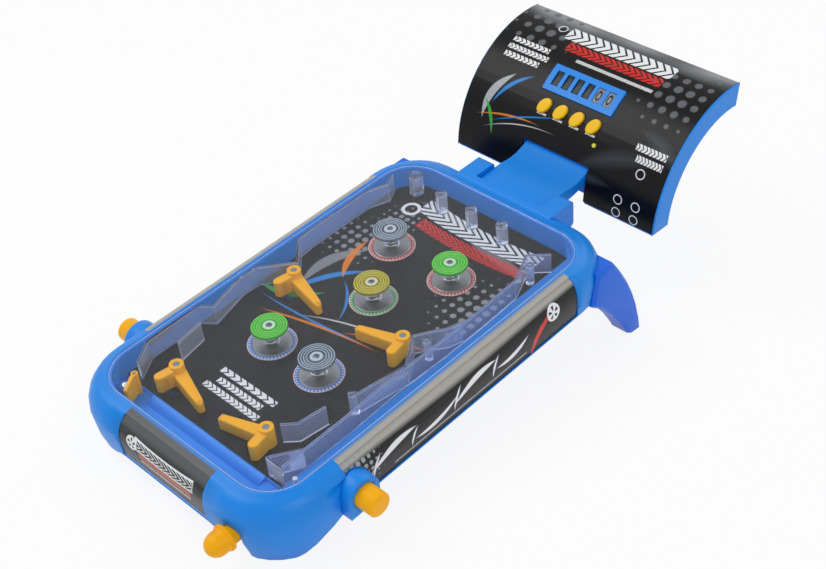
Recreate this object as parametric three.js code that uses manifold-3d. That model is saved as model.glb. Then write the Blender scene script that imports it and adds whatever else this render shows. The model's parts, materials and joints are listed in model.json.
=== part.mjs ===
// Toy pinball machine: a sloping table under a clear cover, with four flippers, five bumpers,
// a ball plunger and a tilting scoreboard head. Millimetres, +Z up, standing on the XY plane.
// The pieces are drawn in the table's own frame: X to the player's right, Y to the back,
// Z square to the play field, with zero at the front edge and top face of the cover.
import * as THREE from 'three';
import { mergeVertices } from 'three/addons/utils/BufferGeometryUtils.js';
import Module from 'manifold-3d';

const wasm = await Module();
wasm.setup();
const rad = THREE.MathUtils.degToRad;
const degrees = THREE.MathUtils.radToDeg;

// Shared clearances
const seatGap = 0.3;
const runningGap = 0.35;
const overrun = 2;
const lap = 1;
const weld = 1e-4;

// Table and cover
const tableSlope = rad(6.5);
const coverWidth = 200;
const coverLength = 343;
const coverCorner = 32;
const coverThickness = 1.8;
const coverBevel = 0.4;
const coverGap = 0.4;
const fieldDepth = 20.7;
const boardThickness = 1.5;
const boardMargin = 0.6;
const floorThickness = 3;
const boardFront = 27;
const troughDepth = 1.8;
const troughStep = 1.5;
const rampLength = 8;
const rampLow = 0.3;
const rampLeftShare = 0.64;
const rampRightShare = 0.62;

// Skirt of the housing
const rimWidth = 3.2;
const rimDrop = 0.4;
const skirtDepth = 38;
const skirtWall = 3.4;
const chamberWall = 2.6;
const webReach = 0.6;
const shoulderDepth = 20.5;
const sideSpread = 16.8;
const frontSpread = 19.8;
const rearSpread = 22;
const sideTaper = 1;
const footDepth = 58;
const footExtra = 3;
const footReach = 20;
const footTaper = 6;
const footStartShare = 0.45;
const footRiseShare = 0.6;
const plateThickness = 2;
const plateLift = 0.6;
const plateMargin = 0.8;
const boltRadius = 3.6;
const boltHole = 1.6;
const boltShares = [
  [-0.3, 0.122], [0.12, 0.122], [-0.86, 0.627], [0.86, 0.627], [-0.86, 0.92], [0.86, 0.92], [0, 0.627],
];

// Labels, sunk into the skirt between the corners
const labelThickness = 0.8;
const labelSink = 0.9;
const labelTopDepth = 1.5;
const labelFoot = 1;
const labelInset = 0.2;
const frontLabelShare = 0.475;
const sideLabelFront = 56;
const sideLabelInset = 38;

// Play field and lanes
const playCentreShare = -0.091;
const laneWidth = 21.5;
const railThickness = 1.6;
const railGap = 0.3;
const bumperShares = [[-0.447, 0.765], [0.225, 0.762], [-0.1, 0.6], [-0.36, 0.352], [0.175, 0.35]];

// Guide walls and posts that hang from the cover, as shares of its half width and length
const leftLowerShares = [
  [-0.83, 0.088], [-0.955, 0.146], [-0.958, 0.292], [-0.86, 0.313], [-0.956, 0.417], [-0.948, 0.464],
];
const leftUpperShares = [[-0.938, 0.598], [-0.955, 0.641], [-0.955, 0.831], [-0.88, 0.886], [-0.945, 0.922]];
const shortRailShares = [[-0.755, 0.185], [-0.798, 0.258]];
const rightVeeShares = [[0.48, 0.163], [0.57, 0.188], [0.605, 0.258]];
const laneRailShares = [
  [0.635, 0.084], [0.789, 0.084], [0.789, 0.283], [0.777, 0.36], [0.773, 0.431], [0.789, 0.548],
  [0.789, 0.682], [0.775, 0.805], [0.683, 0.866], [0.646, 0.889], [0.793, 0.927],
];
const laneBraceShares = [[0.645, 0.087], [0.775, 0.146]];
const midRailShares = [[0.652, 0.314], [0.693, 0.331], [0.762, 0.452]];
const kneeRailShares = [[0.66, 0.563], [0.73, 0.589], [0.769, 0.624]];
const mitreShare = 0.4;
const kneeBack = 4;
const kneeRise = 7.2;
const kneeSide = 7;
const rearPostShare = 0.938;
const rearPostPitch = 33.4;
const rearPostRadius = 5;
const sidePostShares = [[0.7, 0.537], [0.665, 0.319], [0.745, 0.867]];
const sidePostRadius = 3.4;
const cornerPostShares = [-0.78, 0.956];
const cornerPostRadius = 6.2;
const postBoreShare = 0.64;
const postFloor = 3;

// Flippers
const lowerPinSpanShare = 0.503;
const lowerPinY = 48.3;
const upperPinSpanShare = 0.604;
const upperPinShare = 0.5175;
const pinRadius = 2.4;
const bossRadius = 5.7;
const bossDrop = 1.1;
const bladeLength = 39;
const bladeRoot = 5.6;
const bladeTip = 3;
const bladeDepth = 8.8;
const tipChamfer = 2.6;
const flipperBevel = 0.6;
const flipperLift = 0.5;
const flipperRest = rad(16);
const flipperSwing = rad(40);
const crankLead = rad(10);
const crankRadius = 13.5;
const crankDepth = 5.4;
const crankRoof = 3.2;
const drivePinRadius = 1.6;
const clawGap = 0.65;
const clawWall = 1.8;
const mouthSink = 0.9;

// Flipper buttons, their collars and the slide bars below the floor
const buttonY = 60;
const buttonDepth = 22.5;
const buttonRadius = 9.7;
const buttonDome = 1.2;
const buttonReach = 41.5;
const buttonRoot = 13.8;
const flangeRadius = 11.4;
const flangeThickness = 2;
const flangeBore = 12.2;
const webClearance = 1.2;
const collarRadius = 15.4;
const collarTaper = 0.9;
const collarReach = 26;
const collarRoot = 2;
const barDepth = 27.5;
const barThickness = 2.5;
const spineHalf = 6;
const slotClearance = 0.6;
const armMargin = 2.4;
const springY = 100;
const springRoom = 24;
const springStopHalf = 5;
const springStopWidth = 3;
const springStopDepth = 34;
const springSeatHalf = 4;
const springSeatWidth = 2;
const springDrop = 1;
const returnRadius = 3;
const returnWire = 0.8;

// Plunger, its rod below the floor and its striker in the lane
const plungerInset = 25.5;
const plungerDepth = 29.5;
const plungerTravel = 16;
const rodRadius = 1.9;
const rodEnd = 40;
const knobRadius = 9.4;
const knobFace = -23;
const knobLength = 18;
const knobRim = 1.2;
const knobRimWidth = 2.6;
const knobNeck = 0.2;
const knobSocket = 8;
const stemGap = 0.6;
const stemDrop = 4.4;
const stemEnd = -8;
const archRadius = 7.2;
const archEnd = -1;
const ribHalf = 6;
const ribFront = 2.4;
const ribRear = 6;
const carrierFront = 30;
const carrierRear = 36;
const carrierHalf = 3.8;
const strikerInset = 13.5;
const strikerRadius = 1.9;
const strikerDepth = 11;
const plungerCoilRadius = 2.9;
const plungerWire = 0.8;

// Ball gate and ball
const gateInset = 22.5;
const gateY = 22.2;
const gatePinRadius = 1.2;
const gateWall = 1.6;
const gateReach = 15.5;
const gateHalf = 1.5;
const gateLift = 0.5;
const gateDrop = 1.6;
const gateTurn = rad(-68);
const gateNotch = 4;
const ballRadius = 5.5;
const ballInset = 15.4;
const ballY = 15.4;

// Bumpers
const capRadius = 14.3;
const capThickness = 1.9;
const capDrop = 0.4;
const capEdge = 0.4;
const ridgeHeight = 0.8;
const ridgeHalf = 0.7;
const ridgeShares = [0.52, 0.8];
const hubRadius = 3.4;
const hubLength = 5.5;
const screwRadius = 1.6;
const discRadius = 16;
const discThickness = 0.8;
const discLift = 0.02;
const bumperPostRadius = 2.2;
const bumperFoot = 4.2;
const bumperFootHeight = 2.4;
const coilRadius = 6;
const coilWire = 1.1;

// Rear legs
const legLap = 3;
const legSpread = 17.5;
const legBevel = 2.5;
const legSplay = 0.04;
const legTop = 12;
const legRootDepth = 40;
const legFloor = 106;
const legFrontInset = 21;
const legHeelReach = 28;
const legToeReach = 41.5;
const legCrownInset = 13;
const legShoulderReach = 7;
const legBendShares = [0.6, 0.33];

// Bracket and neck
const neckHalf = 34.6;
const cheekWidth = 16;
const cheekGap = 0.5;
const bracketFrontReach = 7;
const bracketReach = 38;
const bracketDepth = 25;
const bracketCorner = 3;
const bracketFloor = 3;
const hingeReach = 25;
const hingeDepth = 10;
const hingePinRadius = 2;
const hingeSocket = 13;
const neckFrontRadius = 9.9;
const pocketFrontGap = 0.6;
const deckHeight = 6;
const bellyHeight = 6.5;
const neckBevel = 0.6;
const deckShare = 0.35;
const neckDipShare = 0.683;
const neckDipDepth = 9;
const neckRiseInset = 84;
const neckRiseHeight = 3;
const neckEndInset = 72;
const neckTopHeight = 6;
const neckBellyShare = 0.7;
const neckThickness = 12;

// Head, a curved box around its own axis
const headAxisReach = 144;
const headAxisDepth = 38;
const headRadius = 100;
const headThickness = 23;
const headHalf = 108.8;
const headBevel = 2;
const headLip = 0.8;
const headTop = rad(81.5);
const headBottom = rad(174);
const endAngle = rad(1.6);
const fitAngle = rad(0.25);
const shellWall = 2.2;
const panelHalf = 107.4;
const panelThickness = 1.5;
const pocketTop = rad(156);
const pocketSide = 1.2;
const pocketDepth = 14;
const bezelHalf = 37.3;
const bezelFrom = rad(115);
const bezelTo = rad(129.2);
const bezelDepth = 2.6;
const bezelRaise = 1.6;
const bezelBevel = 0.7;
const windowCount = 6;
const windowPitch = 11;
const windowHalf = 3.7;
const windowMargin = rad(3.1);
const glassThickness = 1.4;
const glassMargin = 1;
const keyAngle = rad(136.8);
const keyXs = [-26.5, -9, 8.6, 26.2];
const keyLong = 8;
const keyShort = 5.4;
const keySlant = rad(31);
const keyRaise = 2.6;
const keyBevel = 0.8;
const keyFlange = 1.2;
const keyFlangeThickness = 1.4;
const keyFlangeDrop = 0.5;
const keyRoot = 6;
const keyTravel = 1.5;
const lampAngle = rad(144.8);
const lampX = 33.6;
const lampRadius = 2.1;
const lampGap = 0.2;
const circuitHalf = 50;
const circuitThickness = 1.5;
const circuitFrom = rad(106);
const circuitTo = rad(150);
const standoffRadius = 2.4;
const standoffX = 44;
const standoffAngle = rad(4);
const bayHalf = 30;
const bayFrom = rad(106.5);
const bayTo = rad(129.5);
const bayDepth = 5.2;
const bayBevel = 0.8;
const bayRim = rad(3.4);
const bayRimWidth = 4;
const doorThickness = 2;
const cellRadius = 5.2;
const cellHalf = 22.2;
const cellCap = 1.4;
const cellCapRadius = 1.9;
const cellGap = 0.5;

// Counts of steps and turns
const cornerSteps = 8;
const footSteps = 3;
const shoulderSteps = 5;
const innerSteps = 1;
const sideSteps = 2;
const roundSteps = 20;
const smallSteps = 12;
const capSteps = 16;
const headSteps = 16;
const domeSteps = 4;
const curlSteps = 8;
const wireSides = 5;
const bumperCurls = 4;
const returnCurls = 7;
const plungerCurls = 6;

// Sizes worked out from those above
const halfWidth = coverWidth / 2;
const laneEdge = halfWidth - laneWidth;
const playCentre = playCentreShare * halfWidth;
const lowerPinSpan = lowerPinSpanShare * halfWidth;
const upperPinSpan = upperPinSpanShare * halfWidth;
const rampLeft = rampLeftShare * halfWidth;
const rampRight = rampRightShare * halfWidth;
const buttonEnd = halfWidth + buttonReach;
const buttonInner = halfWidth + buttonRoot;
const collarEnd = halfWidth + collarReach;
const gateX = gateInset - halfWidth;
const ballX = ballInset - halfWidth;
const plungerX = halfWidth - plungerInset;
const strikerX = halfWidth - strikerInset;
const legInner = halfWidth - legLap;
const legOuter = halfWidth + legSpread;
const frontLabelHalf = frontLabelShare * halfWidth;
const sideLabelRear = coverLength - sideLabelInset;
const upperPinY = upperPinShare * coverLength;
const legFront = coverLength - legFrontInset;
const legHeel = coverLength + legHeelReach;
const legToe = coverLength + legToeReach;
const legCrown = coverLength - legCrownInset;
const legShoulder = coverLength + legShoulderReach;
const bracketFront = coverLength + bracketFrontReach;
const bracketRear = coverLength + bracketReach;
const hingeY = coverLength + hingeReach;
const headAxisY = hingeY + headAxisReach;
const neckEnd = headAxisY - neckEndInset;
const neckRise = headAxisY - neckRiseInset;
const neckSpan = neckRise - hingeY;
const deckEnd = hingeY + deckShare * neckSpan;
const neckDip = hingeY + neckDipShare * neckSpan;
const neckBellyMid = hingeY + neckBellyShare * neckSpan;
const wallInset = chamberWall - webReach;
const boardInset = wallInset + boardMargin;
const floorTop = -(fieldDepth + boardThickness + seatGap);
const floorBottom = floorTop - floorThickness;
const troughFloor = floorTop - troughDepth;
const coverSeat = -(coverThickness + seatGap);
const plateTop = -skirtDepth + plateLift + plateThickness;
const capTop = -coverThickness - capDrop;
const capFace = capTop - ridgeHeight;
const capFoot = capFace - capThickness;
const hubFoot = capFace - hubLength;
const crankDrop = crankRadius * Math.cos(crankLead);
const barTravel = crankDrop * (Math.tan(flipperSwing - crankLead) + Math.tan(crankLead));
const farPin = crankDrop / Math.cos(flipperSwing - crankLead);
const stemRadius = archRadius - stemGap;
const strikerY = (carrierFront + carrierRear) / 2;
const pocketFloor = headRadius - pocketDepth;
const headInner = headRadius - headThickness;
const keyFoot = headRadius - keyRoot;
const circuitOuter = keyFoot - keyTravel - seatGap;
const circuitInner = circuitOuter - circuitThickness;
const onField = (share) => [share[0] * halfWidth, share[1] * coverLength];
const flipperSites = [
  { name: 'flipper_lower_left', x: playCentre - lowerPinSpan, y: lowerPinY, side: -1 },
  { name: 'flipper_lower_right', x: playCentre + lowerPinSpan, y: lowerPinY, side: 1 },
  { name: 'flipper_upper_left', x: playCentre - upperPinSpan, y: upperPinY, side: -1 },
  { name: 'flipper_upper_right', x: playCentre + upperPinSpan, y: upperPinY, side: 1 },
].map((site) => ({
  ...site,
  driveX: site.x + site.side * crankRadius * Math.sin(crankLead),
  driveY: site.y - crankDrop,
}));
const [lowerLeft, lowerRight, upperLeft, upperRight] = flipperSites;

const model = new THREE.Group();
const table = new THREE.Group();
table.rotation.x = tableSlope;
table.position.z = footDepth * Math.cos(tableSlope);
model.add(table);

const paint = (color, roughness, metalness = 0) => new THREE.MeshStandardMaterial(
  { color, roughness, metalness },
);
const paints = {
  blue: paint(0x1f7fe6, 0.38),
  darkBlue: paint(0x1560cf, 0.4),
  yellow: paint(0xffb60a, 0.35),
  black: paint(0x151517, 0.3),
  clear: paint(0xdfe8f5, 0.08),
  steel: paint(0xc9ccd1, 0.22, 1),
  green: paint(0x39c933, 0.2),
  lime: paint(0xd6d21f, 0.2),
  smoke: paint(0x8fa6b8, 0.2),
  grey: paint(0x50545a, 0.5),
  pale: paint(0xd9dcdf, 0.45),
  circuit: paint(0x1d6b3a, 0.5),
};

// Solids from geometry and back
function solid(geometry) {
  const bare = geometry.index ? geometry.toNonIndexed() : geometry.clone();
  bare.deleteAttribute('normal');
  bare.deleteAttribute('uv');
  const merged = mergeVertices(bare, weld);
  return new wasm.Manifold(new wasm.Mesh({
    numProp: 3,
    vertProperties: merged.attributes.position.array,
    triVerts: merged.index.array,
  }));
}

function geometryOf(body) {
  const raw = body.getMesh();
  const geometry = new THREE.BufferGeometry();
  geometry.setAttribute('position', new THREE.BufferAttribute(raw.vertProperties, 3));
  geometry.setIndex(new THREE.BufferAttribute(raw.triVerts, 1));
  geometry.computeVertexNormals();
  return geometry;
}

function joined(...bodies) {
  return bodies.reduce((whole, body) => whole.add(body));
}

function place(name, body, material) {
  const mesh = new THREE.Mesh(body.isBufferGeometry ? body : geometryOf(body), material.clone());
  mesh.name = name;
  table.add(mesh);
  return mesh;
}

const mirrored = (body) => body.mirror([1, 0, 0]);

// Basic forms
function prism(shape, low, high, bevel = 0, steps = 3) {
  const geometry = new THREE.ExtrudeGeometry(shape, {
    depth: high - low - 2 * bevel,
    bevelEnabled: bevel > 0,
    bevelThickness: bevel,
    bevelSize: bevel,
    bevelOffset: -bevel,
    bevelSegments: 1,
    curveSegments: steps,
  });
  geometry.translate(0, 0, low + bevel);
  return solid(geometry);
}

function block(x0, x1, y0, y1, z0, z1) {
  const geometry = new THREE.BoxGeometry(Math.abs(x1 - x0), y1 - y0, z1 - z0);
  geometry.translate((x0 + x1) / 2, (y0 + y1) / 2, (z0 + z1) / 2);
  return solid(geometry);
}

function post(x, y, radius, low, high, steps = smallSteps) {
  const geometry = new THREE.CylinderGeometry(radius, radius, high - low, steps);
  geometry.rotateX(Math.PI / 2);
  geometry.translate(x, y, (low + high) / 2);
  return solid(geometry);
}

function rodAlongX(y, z, radius, x0, x1, steps = roundSteps, endRadius = radius) {
  const geometry = new THREE.CylinderGeometry(endRadius, radius, Math.abs(x1 - x0), steps);
  geometry.rotateZ(x1 > x0 ? -Math.PI / 2 : Math.PI / 2);
  geometry.translate((x0 + x1) / 2, y, z);
  return solid(geometry);
}

function rodAlongY(x, z, radius, y0, y1, steps = roundSteps) {
  const geometry = new THREE.CylinderGeometry(radius, radius, y1 - y0, steps);
  geometry.translate(x, (y0 + y1) / 2, z);
  return solid(geometry);
}

// A prism drawn in Y and Z and run along X
function acrossX(shape, x0, x1, bevel = 0, steps = 3) {
  return prism(shape, x0, x1, bevel, steps).rotate([90, 0, 0]).rotate([0, 0, 90]);
}

function outlineShape(points) {
  return new THREE.Shape(points.map(([x, y]) => new THREE.Vector2(x, y)));
}

function roundedRectangle(x0, x1, y0, y1, radius) {
  const shape = new THREE.Shape();
  shape.absarc(x1 - radius, y0 + radius, radius, -Math.PI / 2, 0);
  shape.absarc(x1 - radius, y1 - radius, radius, 0, Math.PI / 2);
  shape.absarc(x0 + radius, y1 - radius, radius, Math.PI / 2, Math.PI);
  shape.absarc(x0 + radius, y0 + radius, radius, Math.PI, 1.5 * Math.PI);
  return shape;
}

// Two circles joined by their tangents
function stadium(ax, ay, ar, bx, by, br) {
  const angle = Math.atan2(by - ay, bx - ax);
  const open = Math.acos((ar - br) / Math.hypot(bx - ax, by - ay));
  const shape = new THREE.Shape();
  shape.absarc(ax, ay, ar, angle + open, angle + 2 * Math.PI - open);
  shape.absarc(bx, by, br, angle - open, angle + open);
  return shape;
}

// A wall of even thickness along a line of points, mitred at its bends
function ribbon(points, thickness) {
  const steps = points.map(([x, y]) => new THREE.Vector2(x, y));
  const left = [];
  const right = [];
  steps.forEach((point, i) => {
    const before = (i ? point.clone().sub(steps[i - 1]) : steps[1].clone().sub(point)).normalize();
    const after = (i < steps.length - 1 ? steps[i + 1].clone().sub(point) : before.clone()).normalize();
    const normal = new THREE.Vector2(-before.y - after.y, before.x + after.x).normalize();
    const reach = thickness / 2 / Math.max(mitreShare, normal.dot(new THREE.Vector2(-before.y, before.x)));
    left.push([point.x + normal.x * reach, point.y + normal.y * reach]);
    right.unshift([point.x - normal.x * reach, point.y - normal.y * reach]);
  });
  return outlineShape([...left, ...right]);
}

// Rings of equally many points, skinned in order; the last ring meets the first when it is closed
function skin(rings, closed) {
  const count = rings[0].length;
  const triangles = [];
  const levels = closed ? rings.length : rings.length - 1;
  for (let level = 0; level < levels; level += 1) {
    const a = level * count;
    const b = ((level + 1) % rings.length) * count;
    for (let i = 0; i < count; i += 1) {
      const j = (i + 1) % count;
      triangles.push(a + i, a + j, b + j, a + i, b + j, b + i);
    }
  }
  const top = (rings.length - 1) * count;
  for (let i = 1; i < count - 1 && !closed; i += 1) triangles.push(0, i + 1, i, top, top + i, top + i + 1);
  const geometry = new THREE.BufferGeometry();
  geometry.setAttribute('position', new THREE.Float32BufferAttribute(rings.flat(2), 3));
  geometry.setIndex(triangles);
  return facingOut(geometry);
}

function facingOut(geometry) {
  const body = solid(geometry);
  if (body.volume() > 0) return body;
  const index = geometry.index.array;
  for (let i = 0; i < index.length; i += 3) [index[i + 1], index[i + 2]] = [index[i + 2], index[i + 1]];
  return solid(geometry);
}

function lathe(points, steps = capSteps) {
  const geometry = new THREE.LatheGeometry(points.map(([r, z]) => new THREE.Vector2(r, z)), steps);
  geometry.deleteAttribute('normal');
  geometry.deleteAttribute('uv');
  geometry.rotateX(Math.PI / 2);
  return facingOut(mergeVertices(geometry, weld));
}

// A wire coil around an axis, as one unbroken tube with a curl of eight steps of five sides
const coilGaps = [];
function coil(radius, wire, length, curls) {
  const steps = curls * curlSteps;
  const lean = Math.atan2((length - wire) / curls, 2 * Math.PI * radius);
  const rings = Array.from({ length: steps + 1 }, (_, i) => {
    const turn = (i / curlSteps) * 2 * Math.PI;
    const out = new THREE.Vector3(Math.cos(turn), Math.sin(turn), 0);
    const side = new THREE.Vector3(
      Math.sin(turn) * Math.sin(lean), -Math.cos(turn) * Math.sin(lean), Math.cos(lean),
    );
    const centre = out.clone().multiplyScalar(radius);
    centre.z = wire / 2 + (length - wire) * (i / steps);
    return Array.from({ length: wireSides }, (__, k) => {
      const around = (k / wireSides) * 2 * Math.PI;
      return centre.clone()
        .addScaledVector(out, (wire / 2) * Math.cos(around))
        .addScaledVector(side, (wire / 2) * Math.sin(around))
        .toArray();
    });
  });
  coilGaps.push(leastGap(rings));
  return skin(rings, false);
}

// Least distance between a coil's turns, measured on the points of its wire
function leastGap(rings) {
  let least = Infinity;
  rings.forEach((ring, i) => {
    rings.slice(i + curlSteps / 2).forEach((other) => {
      ring.forEach((a) => other.forEach((b) => {
        least = Math.min(least, Math.hypot(a[0] - b[0], a[1] - b[1], a[2] - b[2]));
      }));
    });
  });
  return least;
}

// Stations along the cover's edge: a point, its outward direction, how far the skirt spreads
// there and what share of the foot's depth it dips below the skirt
function stations() {
  const list = [];
  const add = (x, y, angle, dip) => {
    const nx = Math.cos(angle);
    const ny = Math.sin(angle);
    const spread = sideSpread * nx * nx + (ny < 0 ? frontSpread : rearSpread) * ny * ny;
    list.push({ x, y, nx, ny, spread, dip });
  };
  const ease = (share) => share * share * (3 - 2 * share);
  const nearest = (share) => Math.min(share, 1 - share) * 2;
  const arcDip = (share) => ease(Math.min(1, footStartShare + nearest(share) * footRiseShare));
  const across = halfWidth - coverCorner;
  const corners = [
    [across, coverCorner, -Math.PI / 2, true],
    [across, coverLength - coverCorner, 0, false],
    [-across, coverLength - coverCorner, Math.PI / 2, false],
    [-across, coverCorner, Math.PI, true],
  ];
  corners.forEach(([x, y, start, foot]) => {
    const edge = (angle, along) => [
      x + coverCorner * Math.cos(angle) - Math.sin(angle) * along,
      y + coverCorner * Math.sin(angle) + Math.cos(angle) * along,
    ];
    const end = start + Math.PI / 2;
    for (let i = 0; foot && i < footSteps; i += 1) {
      add(...edge(start, -footReach * (1 - i / footSteps)), start, arcDip(0) * ease(i / footSteps));
    }
    for (let i = 0; i <= cornerSteps; i += 1) {
      const angle = start + (Math.PI / 2) * (i / cornerSteps);
      add(...edge(angle, 0), angle, foot ? arcDip(i / cornerSteps) : 0);
    }
    for (let i = 1; foot && i <= footSteps; i += 1) {
      add(...edge(end, footReach * (i / footSteps)), end, arcDip(0) * ease(1 - i / footSteps));
    }
  });
  return list;
}

// The skirt's outer curve as pairs of offset and height: a quarter ellipse over the shoulder,
// then a side that draws in a little towards the foot
function skirtCurve(spread, dip, inset = 0, steps = shoulderSteps) {
  const points = [];
  const shoulder = -shoulderDepth - rimDrop;
  for (let i = 0; i <= steps; i += 1) {
    const turn = (Math.PI / 2) * (i / steps);
    const offset = rimWidth + (spread - rimWidth - inset) * Math.sin(turn);
    points.push([offset, shoulder + (shoulderDepth - inset) * Math.cos(turn)]);
  }
  const bottom = -skirtDepth - (footDepth + footExtra - skirtDepth) * dip;
  for (let i = 1; i <= sideSteps; i += 1) {
    const share = i / sideSteps;
    const taper = (sideTaper + footTaper * dip) * share * share;
    points.push([spread - inset - taper, shoulder + (bottom - shoulder) * share]);
  }
  return points;
}

// The housing's wall: skirt, rim, seat for the cover and chamber wall as one closed section
function housingSection({ x, y, nx, ny, spread, dip }) {
  const inner = skirtCurve(spread, dip, skirtWall, innerSteps).reverse();
  const section = [
    [coverGap, 0],
    [rimWidth - rimDrop, 0],
    ...skirtCurve(spread, dip),
    ...inner,
    [webReach, inner[inner.length - 1][1]],
    [webReach, floorBottom],
    [-wallInset, floorBottom],
    [-wallInset, coverSeat],
    [coverGap, coverSeat],
  ];
  return section.map(([offset, z]) => [x + nx * offset, y + ny * offset, z]);
}

// The skirt's outside without its feet, as a block to cut what stands against it
function skirtEnvelope(grow) {
  const list = stations();
  const ring = (offset, z) => list.map((s) => [s.x + s.nx * offset(s), s.y + s.ny * offset(s), z]);
  const rings = [ring(() => rimWidth + grow, overrun)];
  skirtCurve(sideSpread, 0).forEach(([, z], i) => {
    rings.push(ring((s) => skirtCurve(s.spread, 0)[i][0] + grow, i ? z - grow : z));
  });
  return skin(rings, false);
}

const inset = (distance) => roundedRectangle(
  -halfWidth + distance, halfWidth - distance, distance, coverLength - distance, coverCorner - distance,
);
const insetPrism = (distance, low, high, bevel = 0) => prism(
  inset(distance), low, high, bevel, cornerSteps / 2,
);

// Label strips, as sections of the skirt's side
function labelSection(spread, sunk, thick) {
  const clamp = (z) => Math.max(Math.min(z, -labelTopDepth), -skirtDepth + labelFoot);
  const curve = (depth) => skirtCurve(spread, 0, depth).map(([offset, z]) => [offset, clamp(z)]);
  const outer = curve(sunk);
  const inner = curve(sunk + thick);
  outer[0] = [rimWidth + labelInset, -labelTopDepth];
  inner[0] = [rimWidth + labelInset, -labelTopDepth - Math.min(thick, labelTopDepth)];
  return outlineShape([...outer, ...inner.reverse()]);
}

function sideStrip(sunk, thick, front, rear) {
  return prism(labelSection(sideSpread, sunk, thick), front, rear)
    .rotate([90, 0, 0]).mirror([0, 1, 0]).translate([halfWidth, 0, 0]);
}

function frontStrip(sunk, thick, half) {
  return prism(labelSection(frontSpread, sunk, thick), -half, half).rotate([90, 0, 0]).rotate([0, 0, -90]);
}

// Slot that a drive pin travels in, from its place at rest inwards
function driveSlot({ driveX, driveY, side }, low, high) {
  const radius = drivePinRadius + slotClearance;
  return prism(stadium(driveX, driveY, radius, driveX - side * barTravel, driveY, radius), low, high);
}

// Everything under the surface that the machine stands on
function belowFloor() {
  const wide = coverWidth + coverLength;
  return block(-wide, wide, -wide, wide, -footDepth - legFloor, 0)
    .rotate([-degrees(tableSlope), 0, 0])
    .translate([0, 0, -footDepth]);
}

function bracket() {
  const outer = neckHalf + cheekGap + cheekWidth;
  return acrossX(roundedRectangle(bracketFront, bracketRear, -bracketDepth, 0, bracketCorner), -outer, outer);
}

function bracketPocket() {
  const half = neckHalf + cheekGap;
  const front = hingeY - neckFrontRadius - pocketFrontGap;
  return block(-half, half, front, bracketRear + overrun, -bracketDepth + bracketFloor, overrun);
}

// Sloped step at the back of the trough, where balls roll off the board
function troughRamp() {
  const rear = boardFront - troughStep + lap;
  const profile = outlineShape([
    [rear - lap - rampLength, troughFloor - lap / 2],
    [rear, troughFloor - lap / 2],
    [rear, -fieldDepth - rampLow],
    [rear - lap, -fieldDepth - rampLow],
    [rear - lap - rampLength, troughFloor + rampLow],
  ]);
  return acrossX(profile, -rampLeft, rampRight);
}

const springStop = (side) => (side < 0 ? upperLeft : upperRight).driveX - side * (spineHalf + springRoom);

function stopBlock(side) {
  const stop = springStop(side);
  return block(
    stop, stop - side * springStopWidth, springY - springStopHalf, springY + springStopHalf,
    -springStopDepth, floorBottom + lap,
  );
}

function plungerRib() {
  return block(
    plungerX - ribHalf, plungerX + ribHalf, ribFront, ribRear, -springStopDepth, floorBottom + lap,
  );
}

function baseHousing() {
  const lane = block(laneEdge, halfWidth, boardFront, coverLength, floorTop - lap, -fieldDepth)
    .intersect(insetPrism(wallInset - lap / 2, floorTop - lap, -fieldDepth));
  const floor = insetPrism(wallInset - lap / 2, floorBottom, floorTop);
  const trough = insetPrism(boardInset, troughFloor, floorTop + overrun)
    .intersect(block(-halfWidth, halfWidth, 0, boardFront - troughStep, troughFloor, 0));
  let housing = joined(
    skin(stations().map(housingSection), true), floor, lane, bracket(),
    stopBlock(-1), stopBlock(1), plungerRib(),
  );
  housing = housing.subtract(trough).subtract(bracketPocket()).add(troughRamp());
  flipperSites.forEach((site) => {
    housing = housing
      .add(post(site.x, site.y, pinRadius, floorTop - lap, coverSeat - bossDrop))
      .subtract(driveSlot(site, -skirtDepth, 0));
  });
  housing = housing.add(post(gateX, gateY, gatePinRadius, troughFloor - lap / 2, coverSeat - gateDrop));
  boltShares.map(onField).forEach(([x, y]) => {
    housing = housing.add(post(x, y, boltRadius, plateTop + seatGap, floorTop - lap));
  });
  [-1, 1].forEach((side) => {
    housing = housing.subtract(rodAlongX(
      buttonY, -buttonDepth, flangeBore, side * (halfWidth + webClearance), side * buttonEnd,
    ));
  });
  const front = knobFace - knobLength;
  const slot = strikerRadius + slotClearance;
  housing = housing
    .subtract(rodAlongY(plungerX, -plungerDepth, archRadius, front, archEnd))
    .subtract(block(
      plungerX - archRadius, plungerX + archRadius, front, archEnd,
      -footDepth - footExtra - overrun, -plungerDepth,
    ))
    .subtract(rodAlongY(
      plungerX, -plungerDepth, rodRadius + runningGap, archEnd, ribRear + overrun, smallSteps,
    ))
    .subtract(prism(
      stadium(strikerX, strikerY - plungerTravel, slot, strikerX, strikerY, slot), floorBottom - overrun, 0,
    ));
  const depth = labelSink + labelThickness + seatGap + overrun;
  const sideCut = sideStrip(-overrun, depth, sideLabelFront - seatGap, sideLabelRear + seatGap);
  const socket = neckHalf + hingeSocket;
  return housing
    .subtract(frontStrip(-overrun, depth, frontLabelHalf + seatGap))
    .subtract(sideCut)
    .subtract(mirrored(sideCut))
    .subtract(rodAlongX(hingeY, -hingeDepth, hingePinRadius + seatGap, -socket, socket, smallSteps))
    .subtract(belowFloor());
}

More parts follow.
